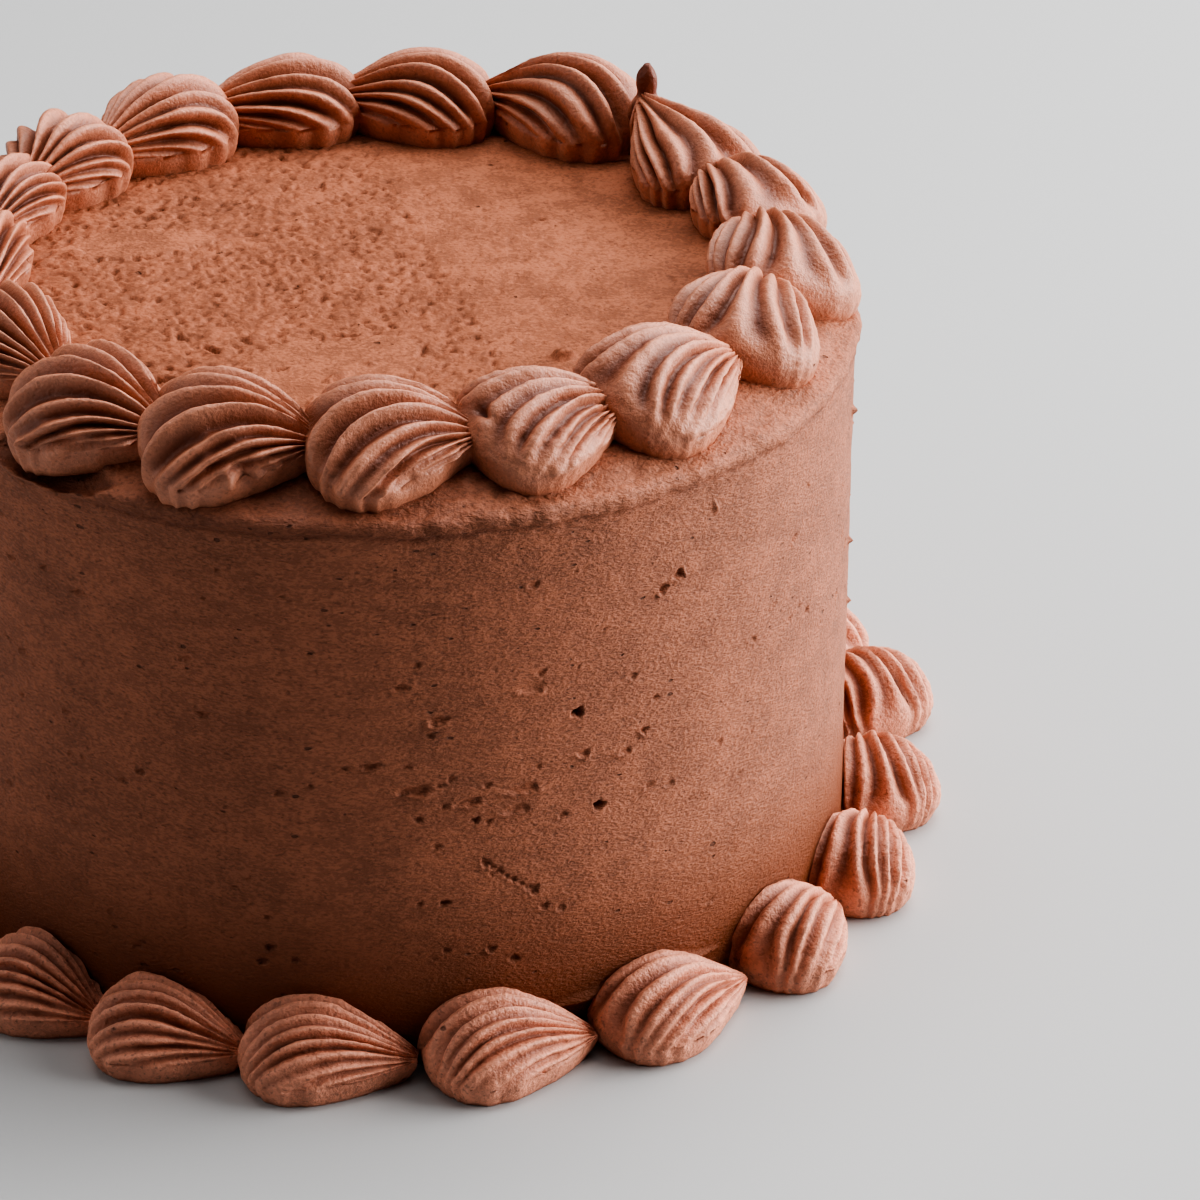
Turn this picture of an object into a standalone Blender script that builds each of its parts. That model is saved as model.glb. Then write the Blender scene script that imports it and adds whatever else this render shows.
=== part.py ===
"""An uncut round layer cake with a border of piped shells round its top and another round its foot.

The frame is the cake's own: the origin is on its axis at the face it stands on, +Z is up, and -Y is the
side that is seen. Angles round the cake run counter-clockwise from +X, which is also the way both borders
were piped.
"""

import math
from collections import namedtuple

import bmesh
import bpy
from mathutils import Vector

MM = 0.001
GAP = 0.3 * MM

# The iced cake
TOP_HEIGHT = 94.5 * MM
FLAT_TOP_RADIUS = 56 * MM
RIM_RADIUS = 74.0 * MM
RIM_HEIGHT = 89.9 * MM
FOOT_RADIUS = 74.6 * MM
SHOULDER_POWER = 1.9
LIP_SWELL = 0.45 * MM
LIP_BAND = 4.5 * MM
CAKE_SIDES = 64
CLEARANCE_SIDES = 30

# The scoop that a spatula took out of the rim
SCOOP_AZIMUTH = math.radians(229.5)
SCOOP_RADIUS = 72.5 * MM
SCOOP_HEIGHT = 92.0 * MM
SCOOP_HALF_SIZES = (4.2 * MM, 12.5 * MM, 4.4 * MM)

# One piped shell as it was laid: its middle's azimuth in degrees and radius in millimetres, its width and
# height in millimetres, the degrees by which its tail turns inward off the ring, the height of its tail,
# and how far it runs on past the middle of the shell laid after it
Shell = namedtuple("Shell", "azimuth radius width height turn tail overlap", defaults=(3.0, 6.0))


def foot_shell(azimuth, radius, width, height, turn):
    """A shell of the border at the foot, where the tails only just reach the next heads."""
    return Shell(azimuth, radius, width, height, turn, overlap=1.5)


TOP_BORDER = (
    Shell(61, 63, 23.5, 14.8, 8, tail=6.5, overlap=5.0),
    Shell(84, 59.5, 22.5, 12.8, 7, tail=6.0),
    Shell(105.5, 60, 22.5, 12.2, 6, tail=6.0),
    Shell(127, 58.5, 22, 12.8, 12, tail=6.0),
    Shell(147.5, 60, 22, 12.6, 9, tail=5.0),
    Shell(164, 62, 21, 10.6, 6),
    Shell(184, 61.5, 20.5, 9.8, 5),
    Shell(209, 61.5, 21, 9.8, 9),
    Shell(232, 64, 20, 10.0, 5, overlap=5.0),
    Shell(252, 63, 20.5, 10.4, 10, overlap=5.0),
    Shell(273, 61.5, 20.5, 10.4, 7, overlap=5.0),
    Shell(294, 61, 20.5, 9.9, 6, overlap=5.0),
    Shell(315, 61, 21.5, 10.8, 1),
    Shell(338.5, 60, 22.5, 10.6, 8),
    Shell(360, 61.5, 23.5, 11.0, 9),
    Shell(381, 62.5, 23, 10.8, 10),
    Shell(396, 61.5, 24, 11.6, 4, tail=12.0, overlap=-3.8),
)

FOOT_BORDER = (
    foot_shell(230, 77.5, 20, 12.8, 3),
    foot_shell(246.5, 77.5, 20, 12.6, 3),
    foot_shell(264.5, 77, 20, 12.8, 2),
    foot_shell(284.5, 77.5, 20.5, 13.0, 2),
    foot_shell(304.5, 78, 20, 12.4, 1),
    foot_shell(324.5, 78, 20.5, 13.2, 1),
    foot_shell(342.5, 79.0, 19.5, 13.0, 4),
    foot_shell(361, 80.0, 20.5, 12.4, 4),
    foot_shell(379.5, 85.5, 21.0, 13.2, 6),
    foot_shell(394.5, 85.0, 20.5, 12.8, 7),
    foot_shell(413, 80.5, 20, 12.4, 4),
    foot_shell(433, 77.5, 20.5, 12.9, 3),
    foot_shell(453, 78, 19.5, 12.5, 1),
    foot_shell(472.5, 77.5, 20, 12.8, 3),
    foot_shell(492, 77.5, 20.5, 12.3, 2),
    foot_shell(511.5, 78, 20, 13.0, 4),
    foot_shell(531, 77.5, 19.5, 12.6, 2),
    foot_shell(550.5, 77.5, 20, 12.7, 3),
    foot_shell(570.5, 77.5, 20.5, 12.5, 2),
)

# What the shells of one border share: how many ribs, how widely the ribs fan out over the head, and how
# far the solid runs on down before the cake cuts it off
Style = namedtuple("Style", "ribs fan skirt")
TOP_STYLE = Style(ribs=9, fan=0.50, skirt=5.0 * MM)
FOOT_STYLE = Style(ribs=7, fan=0.12, skirt=0.0)

# The form of every shell, as parts of its own length, width and height
ROUND_POWER = 0.45
CROWN_AT = 0.62
TAIL_START = 0.06
BULGE_HEIGHT = 3.6 * MM
TUCK = 0.88
TUCK_CENTRE = 0.60
RIB_HALF_DEPTH = 0.6 * MM
RIB_HALF_SPREAD = math.radians(70)
ROWS = 6

# The last shell's tail is drawn up over the first shell and ends in a small knob on a neck, given as its
# radius and its height above the cake's top
PEAK_AZIMUTH = math.radians(406)
PEAK_RADIUS = 63.3 * MM
PEAK_PROFILE = (
    (2.0 * MM, 7.5 * MM),
    (1.0 * MM, 11.2 * MM),
    (1.6 * MM, 12.4 * MM),
    (1.3 * MM, 14.2 * MM),
    (0.4 * MM, 16.0 * MM),
)
PEAK_SIDES = 8

ICING_COLOUR = (0.235, 0.105, 0.068, 1.0)
PIPING_COLOUR = (0.265, 0.120, 0.082, 1.0)


def clear_scene():
    """Start from an empty scene."""
    for scene_object in list(bpy.data.objects):
        bpy.data.objects.remove(scene_object, do_unlink=True)


def new_collection(name):
    """A collection linked to the scene."""
    collection = bpy.data.collections.new(name)
    bpy.context.scene.collection.children.link(collection)
    return collection


def cream_material(name, colour):
    """Chocolate buttercream: a soft, barely glossy Principled surface."""
    material = bpy.data.materials.new(name)
    material.use_nodes = True
    surface = material.node_tree.nodes["Principled BSDF"]
    surface.inputs["Base Color"].default_value = colour
    surface.inputs["Roughness"].default_value = 0.55
    surface.inputs["Metallic"].default_value = 0.0
    return material


def add_object(name, mesh, collection, material=None):
    """Link a new object and give it one material."""
    thing = bpy.data.objects.new(name, mesh)
    if material:
        mesh.materials.append(material)
    collection.objects.link(thing)
    return thing


def make_cutter(thing):
    """Keep an object as a cutter only."""
    thing.hide_render = True
    thing.display_type = "WIRE"
    return thing


def shoulder_height(radius):
    """Height of the cake's top at this radius: level in the middle, rounding down to the rim."""
    if radius <= FLAT_TOP_RADIUS:
        return TOP_HEIGHT
    out = (min(radius, RIM_RADIUS) - FLAT_TOP_RADIUS) / (RIM_RADIUS - FLAT_TOP_RADIUS)
    return TOP_HEIGHT - (TOP_HEIGHT - RIM_HEIGHT) * out ** SHOULDER_POWER


def wall_radius(height):
    """Radius of the side: it leans in a little and swells again just under the rim."""
    lean = FOOT_RADIUS + (RIM_RADIUS - LIP_SWELL - FOOT_RADIUS) * height / RIM_HEIGHT
    return lean + LIP_SWELL * math.exp(-((height - RIM_HEIGHT) / LIP_BAND) ** 2)


def cake_outline(shoulder_parts, wall_parts, clearance=0.0):
    """Half section of the cake from the top of its axis down its side, grown by the clearance."""
    points = [(0.0, TOP_HEIGHT + clearance), (FLAT_TOP_RADIUS, TOP_HEIGHT + clearance)]
    for part in shoulder_parts:
        radius = FLAT_TOP_RADIUS + part * (RIM_RADIUS - FLAT_TOP_RADIUS)
        points.append((radius, shoulder_height(radius) + clearance))
    for part in wall_parts:
        height = part * RIM_HEIGHT
        points.append((wall_radius(height) + clearance, height))
    points.append((FOOT_RADIUS + clearance, -clearance))
    points.append((0.0, -clearance))
    return points


def clearance_outline():
    """A coarser half section that stays clear of the cake even in the middle of its flats."""
    corner = 1.0 / math.cos(math.pi / CLEARANCE_SIDES)
    outline = cake_outline((0.35, 0.7, 0.95), (1.0, 0.92, 0.82), GAP)
    return [(radius * corner, height) for radius, height in outline]


def turned_object(name, outline, sides, collection, material=None):
    """Turn a half section round the Z axis with a Screw modifier."""
    mesh = bpy.data.meshes.new(name)
    edges = [(index, index + 1) for index in range(len(outline) - 1)]
    mesh.from_pydata([(radius, 0.0, height) for radius, height in outline], edges, [])
    thing = add_object(name, mesh, collection, material)
    turn = thing.modifiers.new("Turn", "SCREW")
    turn.steps = sides
    turn.render_steps = sides
    turn.use_merge_vertices = True
    turn.merge_threshold = 0.00001
    return thing


def add_scoop_cutter(collection):
    """The hollow that runs along the rim, a long shallow ball lying round the cake."""
    bpy.ops.mesh.primitive_uv_sphere_add(segments=20, ring_count=10, radius=1.0)
    scoop = bpy.context.object
    scoop.name = "scoop_cutter"
    for other in list(scoop.users_collection):
        other.objects.unlink(scoop)
    collection.objects.link(scoop)
    for vertex in scoop.data.vertices:
        vertex.co = Vector(size * value for size, value in zip(SCOOP_HALF_SIZES, vertex.co))
    scoop.rotation_euler = (0.0, 0.0, SCOOP_AZIMUTH)
    scoop.location = (
        SCOOP_RADIUS * math.cos(SCOOP_AZIMUTH),
        SCOOP_RADIUS * math.sin(SCOOP_AZIMUTH),
        SCOOP_HEIGHT,
    )
    return make_cutter(scoop)


def half_width(along, width):
    """Half the width of a shell at this part of its length, 0 at the tail's tip and 1 at the head."""
    widest = 1.0 / (1.0 + ROUND_POWER)
    largest = widest * (1.0 - widest) ** ROUND_POWER
    return 0.5 * width * along * max(1.0 - along, 0.0) ** ROUND_POWER / largest


def ridge_line(along, height, tail):
    """Height of a shell's middle line: it climbs from the tail, crowns, and rounds over the head."""
    if along < CROWN_AT:
        climb = math.sin(0.5 * math.pi * along / CROWN_AT) ** 1.2
        return tail + (height - tail) * climb
    past = (along - CROWN_AT) / (1.0 - CROWN_AT)
    return BULGE_HEIGHT + (height - BULGE_HEIGHT) * math.sqrt(max(1.0 - past * past, 0.0))


def landing(offset, fan):
    """Part of the length at which a rib that starts at this angle off the crown meets the edge."""
    spread = 0.5 * math.pi / max(abs(offset), 1e-6) - 1.0
    return spread / (spread + fan)


def rib_point(along, offset, fan, length, shell):
    """A point on the shell where the rib that starts at this angle off the crown has got to."""
    spread = fan * along / max(1.0 - along, 1e-9)
    angle = min(max(offset * (1.0 + spread), -0.5 * math.pi), 0.5 * math.pi)
    rise = ridge_line(along, shell.height * MM, shell.tail * MM) - BULGE_HEIGHT
    return Vector((
        length * (0.5 - along),
        half_width(along, shell.width * MM) * math.sin(angle),
        BULGE_HEIGHT + rise * math.cos(angle),
    ))


def rib_offsets(ribs):
    """Angles off the crown of the crests and the grooves between them, with the two edges."""
    steps = 2 * (ribs - 1)
    middle = [RIB_HALF_SPREAD * (2.0 * step / steps - 1.0) for step in range(steps + 1)]
    edge = 0.5 * math.pi
    return [-edge] + middle + [edge]


def rib_column(offset, length, shell, style):
    """The points down one crest or groove, from the tail over the shell and under its edge."""
    end = max(landing(offset, style.fan), TAIL_START)
    column = []
    for row in range(ROWS):
        along = TAIL_START + (end - TAIL_START) * math.sin(0.5 * math.pi * row / (ROWS - 1))
        column.append(rib_point(along, offset, style.fan, length, shell))
    edge = column[-1]
    centre = length * (0.5 - TUCK_CENTRE)
    base = Vector((centre + (edge.x - centre) * TUCK, edge.y * TUCK, 0.0))
    column.append(base)
    if style.skirt:
        column.append(base - Vector((0.0, 0.0, style.skirt)))
    return column


def shell_mesh(name, length, shell, style, swell=0.0):
    """A closed ribbed shell with its tail towards +X, resting on z = 0, grown outward by the swell."""
    form = bmesh.new()
    push = form.verts.layers.float.new("push")
    grid = []
    for index, offset in enumerate(rib_offsets(style.ribs)):
        column = rib_column(offset, length, shell, style)
        vertices = [form.verts.new(point) for point in column]
        for row, vertex in enumerate(vertices):
            vertex[push] = rib_push(index, row, vertex.co.x / length, style)
        grid.append(vertices)
    add_shell_faces(form, grid)
    bmesh.ops.remove_doubles(form, verts=form.verts[:], dist=0.00001)
    bmesh.ops.triangulate(form, faces=form.faces[:])
    bmesh.ops.recalc_face_normals(form, faces=form.faces[:])
    form.normal_update()
    moves = [(vertex, vertex.normal * (vertex[push] + swell)) for vertex in form.verts]
    for vertex, move in moves:
        vertex.co += move
    mesh = bpy.data.meshes.new(name)
    form.to_mesh(mesh)
    form.free()
    return mesh


def add_shell_faces(form, grid):
    """Skin the columns, then close the tail's end and the base."""
    for left, right in zip(grid, grid[1:]):
        for upper in range(len(left) - 1):
            form.faces.new((left[upper], left[upper + 1], right[upper + 1], right[upper]))
    form.faces.new([column[-1] for column in reversed(grid)])
    arch = [column[0] for column in grid[1:-1]]
    form.faces.new(arch + grid[-1] + grid[0][::-1])


def rib_push(index, row, place, style):
    """How far a point moves out on a crest or in on a groove, fading at the tail and the base."""
    on_edge = index in (0, 2 * style.ribs)
    if on_edge or row >= ROWS:
        return 0.0
    sign = 1.0 if index % 2 else -1.0
    fade = min(0.3 + 1.4 * (0.5 - place), 1.0)
    if row == 0:
        fade *= 0.4
    return sign * fade * RIB_HALF_DEPTH


def shell_length(border, index):
    """Length of a shell: the way round the ring to the next one's middle, and its overlap."""
    shell = border[index]
    following = border[(index + 1) % len(border)]
    step = (following.azimuth - shell.azimuth) % 360
    return (math.radians(step) * shell.radius + shell.overlap) * MM


def drape(mesh, shell, rests_on_top):
    """Turn a shell into its place on its ring, and let it follow the cake's shoulder."""
    azimuth = math.radians(shell.azimuth)
    turn = math.radians(shell.turn)
    along = Vector((-math.sin(azimuth), math.cos(azimuth), 0.0))
    inward = Vector((-math.cos(azimuth), -math.sin(azimuth), 0.0))
    tailward = along * math.cos(turn) + inward * math.sin(turn)
    sideways = inward * math.cos(turn) - along * math.sin(turn)
    middle = -inward * shell.radius * MM
    for vertex in mesh.vertices:
        place = middle + tailward * vertex.co.x + sideways * vertex.co.y
        ground = shoulder_height(place.xy.length) if rests_on_top else 0.0
        vertex.co = Vector((place.x, place.y, ground + vertex.co.z))


def settled_mesh(thing):
    """The mesh that an object's modifiers give, as a mesh of its own."""
    graph = bpy.context.evaluated_depsgraph_get()
    return bpy.data.meshes.new_from_object(thing.evaluated_get(graph), depsgraph=graph)


def drop_scraps(mesh):
    """Keep only the largest piece of a cut mesh."""
    form = bmesh.new()
    form.from_mesh(mesh)
    bmesh.ops.remove_doubles(form, verts=form.verts[:], dist=0.00001)
    waiting = set(form.verts)
    pieces = []
    while waiting:
        piece = {waiting.pop()}
        edge_of_piece = list(piece)
        while edge_of_piece:
            vertex = edge_of_piece.pop()
            near = {edge.other_vert(vertex) for edge in vertex.link_edges} & waiting
            waiting -= near
            piece |= near
            edge_of_piece.extend(near)
        pieces.append(piece)
    pieces.sort(key=len)
    for piece in pieces[:-1]:
        bmesh.ops.delete(form, geom=list(piece), context="VERTS")
    form.to_mesh(mesh)
    form.free()


def combine(thing, operation, tools):
    """Cut an object by each tool, or join each tool to it, and keep the settled result."""
    for tool in tools:
        step = thing.modifiers.new("Combine", "BOOLEAN")
        step.operation = operation
        step.object = tool
    mesh = settled_mesh(thing)
    drop_scraps(mesh)
    thing.modifiers.clear()
    thing.data = mesh


def peak_mesh(name, swell):
    """The knob and its neck, turned round their own axis and grown outward by the swell."""
    form = bmesh.new()
    rings = []
    for radius, height in PEAK_PROFILE:
        ring = []
        for side in range(PEAK_SIDES):
            angle = 2.0 * math.pi * side / PEAK_SIDES
            reach = radius + swell
            ring.append(form.verts.new((reach * math.cos(angle), reach * math.sin(angle), height)))
        rings.append(ring)
    for vertex in rings[-1]:
        vertex.co.z += swell
    for lower, upper in zip(rings, rings[1:]):
        for side in range(PEAK_SIDES):
            after = (side + 1) % PEAK_SIDES
            form.faces.new((lower[side], lower[after], upper[after], upper[side]))
    form.faces.new(rings[0][::-1])
    form.faces.new(rings[-1])
    mesh = bpy.data.meshes.new(name)
    form.to_mesh(mesh)
    form.free()
    return mesh


def add_peak_tool(name, swell, cutters):
    """The knob as a tool in its place over the joint between the last shell and the first."""
    tool = make_cutter(add_object(name, peak_mesh(name, swell), cutters))
    tool.location = (
        PEAK_RADIUS * math.cos(PEAK_AZIMUTH),
        PEAK_RADIUS * math.sin(PEAK_AZIMUTH),
        TOP_HEIGHT,
    )
    return tool


def add_border(label, border, style, body_cutter, collection, cutters, material):
    """Lay a border shell by shell, each cut back from the cake and from the shell laid over its tail.

    The last shell's tail lies over the first shell's head, which is cut back from it.
    """
    shells = []
    clearances = []
    for index, shell in enumerate(border):
        length = shell_length(border, index)
        name = "%s_shell_%02d" % (label, index + 1)
        mesh = shell_mesh(name, length, shell, style)
        drape(mesh, shell, style.skirt > 0)
        shells.append(add_object(name, mesh, collection, material))
        grown = shell_mesh(name + "_clearance", length, shell, style, GAP)
        drape(grown, shell, style.skirt > 0)
        clearances.append(make_cutter(add_object(name + "_clearance", grown, cutters)))
    for index, thing in enumerate(shells):
        laid_over = clearances[index + 1:index + 2]
        if index == 0:
            laid_over = laid_over + clearances[-1:]
        combine(thing, "DIFFERENCE", [body_cutter] + laid_over)
    return shells


def main():
    clear_scene()
    cake = new_collection("layer_cake")
    cutters = new_collection("cutters")
    icing = cream_material("chocolate_icing", ICING_COLOUR)
    piping = cream_material("chocolate_piping", PIPING_COLOUR)
    outline = cake_outline((0.3, 0.55, 0.75, 0.9), (1.0, 0.97, 0.92, 0.82, 0.55, 0.28))
    body = turned_object("cake_body", outline, CAKE_SIDES, cake, icing)
    body_cutter = make_cutter(turned_object("body_clearance", clearance_outline(), CLEARANCE_SIDES, cutters))
    combine(body, "DIFFERENCE", [add_scoop_cutter(cutters)])
    top_shells = add_border("top", TOP_BORDER, TOP_STYLE, body_cutter, cake, cutters, piping)
    combine(top_shells[-1], "UNION", [add_peak_tool("peak", 0.0, cutters)])
    combine(top_shells[0], "DIFFERENCE", [add_peak_tool("peak_clearance", GAP, cutters)])
    add_border("foot", FOOT_BORDER, FOOT_STYLE, body_cutter, cake, cutters, piping)


main()
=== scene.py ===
"""Dresses the cake in fine buttercream: the iced side and top, the piped shells of both borders, and a
plain studio stage. All lengths are in the cake's own frame, with its axis on Z and the seen side at -Y."""

import math
import random
from collections import namedtuple

import bmesh
import bpy
import numpy as np
from mathutils import Matrix, Vector, noise


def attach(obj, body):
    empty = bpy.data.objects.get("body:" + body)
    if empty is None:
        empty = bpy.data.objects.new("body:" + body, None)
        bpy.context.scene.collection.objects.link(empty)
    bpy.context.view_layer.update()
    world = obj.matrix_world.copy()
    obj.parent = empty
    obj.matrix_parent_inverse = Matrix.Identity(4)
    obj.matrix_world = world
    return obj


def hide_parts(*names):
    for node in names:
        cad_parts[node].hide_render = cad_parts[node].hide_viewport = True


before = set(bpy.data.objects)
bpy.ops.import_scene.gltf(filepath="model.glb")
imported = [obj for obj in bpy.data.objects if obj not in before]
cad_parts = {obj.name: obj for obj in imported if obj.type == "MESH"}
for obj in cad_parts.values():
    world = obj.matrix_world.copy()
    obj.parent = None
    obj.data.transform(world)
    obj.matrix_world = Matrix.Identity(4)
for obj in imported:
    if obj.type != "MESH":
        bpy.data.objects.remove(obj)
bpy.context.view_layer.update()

bl_info = {
    "name": "Piped chocolate cake",
    "version": (1, 0, 0),
    "blender": (4, 5, 0),
    "location": "View3D > Sidebar > Cake",
    "description": "Builds the icing, the piped borders and the stage of a round layer cake",
    "category": "Add Mesh",
}

MM = 0.001
DEGREE = math.pi / 180.0
QUARTER_TURN = 0.5 * math.pi
FULL_TURN = 2.0 * math.pi

# The iced cake
TOP_HEIGHT = 94.5 * MM
FLAT_TOP_RADIUS = 56.0 * MM
RIM_RADIUS = 74.0 * MM
RIM_HEIGHT = 89.9 * MM
FOOT_RADIUS = 74.6 * MM
SHOULDER_POWER = 1.9
LIP_SWELL = 0.45 * MM
LIP_BAND = 4.5 * MM
RIM_SOFTNESS = 1.3 * MM
SEAM_RADIUS = 62.0 * MM
HIDDEN_DEPTH = 4.0 * MM

# The scoop that a spatula took out of the rim
SCOOP_AZIMUTH = 229.5 * DEGREE
SCOOP_RADIUS = 72.5 * MM
SCOOP_HEIGHT = 92.0 * MM
SCOOP_HALF_SIZES = (4.2 * MM, 12.5 * MM, 4.4 * MM)

# One piped shell: its middle's azimuth in degrees and radius in millimetres, its width and height in
# millimetres, the degrees by which its tail turns inward, its tail's height and how far it runs on past
# the middle of the next one
Shell = namedtuple("Shell", "azimuth radius width height turn tail overlap", defaults=(3.0, 6.0))
TOP_BORDER = tuple(Shell(*row) for row in (
    (61, 63, 23.5, 14.8, 8, 6.5, 5.0), (84, 59.5, 22.5, 12.8, 7, 6.0), (105.5, 60, 22.5, 12.2, 6, 6.0),
    (127, 58.5, 22, 12.8, 12, 6.0), (147.5, 60, 22, 12.6, 9, 5.0), (164, 62, 21, 10.6, 6),
    (184, 61.5, 20.5, 9.8, 5), (209, 61.5, 21, 9.8, 9), (232, 64, 20, 10.0, 5, 3.0, 5.0),
    (252, 63, 20.5, 10.4, 10, 3.0, 5.0), (273, 61.5, 20.5, 10.4, 7, 3.0, 5.0),
    (294, 61, 20.5, 9.9, 6, 3.0, 5.0), (315, 61, 21.5, 10.8, 1), (338.5, 60, 22.5, 10.6, 8),
    (360, 61.5, 23.5, 11.0, 9), (381, 62.5, 23, 10.8, 10), (396, 61.5, 24, 11.6, 4, 12.0, -3.8),
))

# At the foot the tails only just reach the next heads
FOOT_OVERLAP = 1.5
FOOT_BORDER = tuple(Shell(*row, overlap=FOOT_OVERLAP) for row in (
    (230, 77.5, 20, 12.8, 3), (246.5, 77.5, 20, 12.6, 3), (264.5, 77, 20, 12.8, 2),
    (284.5, 77.5, 20.5, 13.0, 2), (304.5, 78, 20, 12.4, 1), (324.5, 78, 20.5, 13.2, 1),
    (342.5, 79.0, 19.5, 13.0, 4), (361, 80.0, 20.5, 12.4, 4), (379.5, 85.5, 21.0, 13.2, 6),
    (394.5, 85.0, 20.5, 12.8, 7), (413, 80.5, 20, 12.4, 4), (433, 77.5, 20.5, 12.9, 3),
    (453, 78, 19.5, 12.5, 1), (472.5, 77.5, 20, 12.8, 3), (492, 77.5, 20.5, 12.3, 2),
    (511.5, 78, 20, 13.0, 4), (531, 77.5, 19.5, 12.6, 2), (550.5, 77.5, 20, 12.7, 3),
    (570.5, 77.5, 20.5, 12.5, 2),
))

# How the nozzle and the hand left a shell: how many ridges, how deep they are in millimetres from groove
# to crest, how narrow the crests are (1 is an even wave), how much of the outer side and of the head's
# front is smoothed over, and how frothy the cream came out
Finish = namedtuple("Finish", "ridges depth crispness smoothed front froth")
BROAD = Finish(12, 2.7, 0.75, 0.6, 0.5, 0.35)
ROUNDED = Finish(13, 2.3, 0.9, 0.9, 0.8, 0.5)
FROTHY = Finish(15, 2.0, 1.2, 0.95, 0.85, 1.0)
CRISP = Finish(13, 2.8, 1.6, 0.85, 0.15, 0.4)
NARROW = Finish(14, 2.5, 1.2, 0.5, 0.2, 0.35)
FOOT = Finish(13, 2.0, 1.0, 0.1, 0.3, 0.9)

TOP_FINISHES = (BROAD,) * 5 + (NARROW,) * 3 + (CRISP,) * 3 + (FROTHY,) * 2 + (ROUNDED,) * 3 + (BROAD,)

# A fold or, where the lift is below 0, a hollow that runs over a shell: its path as degrees off the crown
# (below 0 on the outer side) and part of the shell's length, its half width and its lift in millimetres
Fold = namedtuple("Fold", "path width lift")
FOLDS = {
    9: (
        Fold(((-49, 0.76), (-36, 0.78), (-37, 0.66), (-51, 0.45), (-80, 0.20)), 0.8, 1.0),
        Fold(((-54, 0.64), (-62, 0.50), (-72, 0.36)), 1.5, -0.8),
        Fold(((-62, 0.62), (-68, 0.54), (-78, 0.33)), 0.8, 0.7),
        Fold(((-64, 0.56), (-66, 0.50)), 0.7, 0.5),
    ),
    10: (
        Fold(((-17, 0.90), (-17, 0.80), (-20, 0.69), (-36, 0.47), (-63, 0.20)), 0.9, 0.6),
        Fold(((-40, 0.62), (-46, 0.48), (-52, 0.38), (-72, 0.28)), 0.8, 0.7),
        Fold(((-46, 0.60), (-58, 0.44)), 1.2, -0.8),
        Fold(((-56, 0.52), (-62, 0.50), (-68, 0.50)), 0.9, 1.1),
        Fold(((-68, 0.43), (-73, 0.42)), 0.9, -0.7),
        Fold(((-72, 0.38), (-77, 0.36)), 0.8, 0.8),
    ),
    11: (
        Fold(((-31, 0.86), (-30, 0.84), (-32, 0.76), (-42, 0.56), (-67, 0.26)), 0.9, 0.7),
        Fold(((-44, 0.74), (-58, 0.62)), 2.6, 0.5),
        Fold(((-50, 0.67), (-52, 0.66)), 0.8, 0.6),
        Fold(((-58, 0.58), (-66, 0.50)), 1.0, -0.7),
    ),
    12: (
        Fold(((-2, 0.91), (3, 0.91)), 0.6, -1.4),
        Fold(((-39, 0.23), (-41, 0.23)), 0.8, -1.2),
        Fold(((-50, 0.70), (-62, 0.52), (-78, 0.30)), 1.0, 0.6),
    ),
    13: (
        Fold(((-40, 0.78), (-52, 0.66), (-70, 0.42)), 1.1, 0.6),
    ),
}

# The form that every shell shares, as parts of its own length, width and height
ROUND_POWER = 0.45
CROWN_AT = 0.62
TAIL_START = 0.06
BULGE_HEIGHT = 3.6 * MM
TUCK = 0.88
TUCK_CENTRE = 0.60
RIDGE_HALF_SPREAD = 80.0 * DEGREE

# What the shells of one border share: how their ridges fan out and crowd to the edges, how far they sink in,
# and what part of the ridges' depth is carved into the plain form, with the rest standing out of it
Style = namedtuple("Style", "fan crowding sunk carved on_top columns rows tuck_rows")
TOP_STYLE = Style(0.30, 1.3, sunk=1.2 * MM, carved=0.65, on_top=True, columns=160, rows=54, tuck_rows=6)
FOOT_STYLE = Style(0.12, 1.9, sunk=0.0, carved=0.96, on_top=False, columns=112, rows=38, tuck_rows=6)

# The knob that the last shell's tail was drawn up into: from its foot to its tip, its radius and its height
# above the top in millimetres
PEAK_AZIMUTH = 406.0 * DEGREE
PEAK_RADIUS = 63.3 * MM
PEAK_PROFILE = (
    (3.2, 0.5), (3.2, 7.0), (2.4, 9.3), (1.7, 10.6), (1.45, 11.2), (1.7, 12.4), (1.65, 14.0), (1.2, 15.0),
    (0.4, 15.9),
)
PEAK_SIDES = 96
PEAK_RINGS = 48
PEAK_RIDGES = 10
PEAK_RIDGE_DEPTH = 0.16

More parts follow.
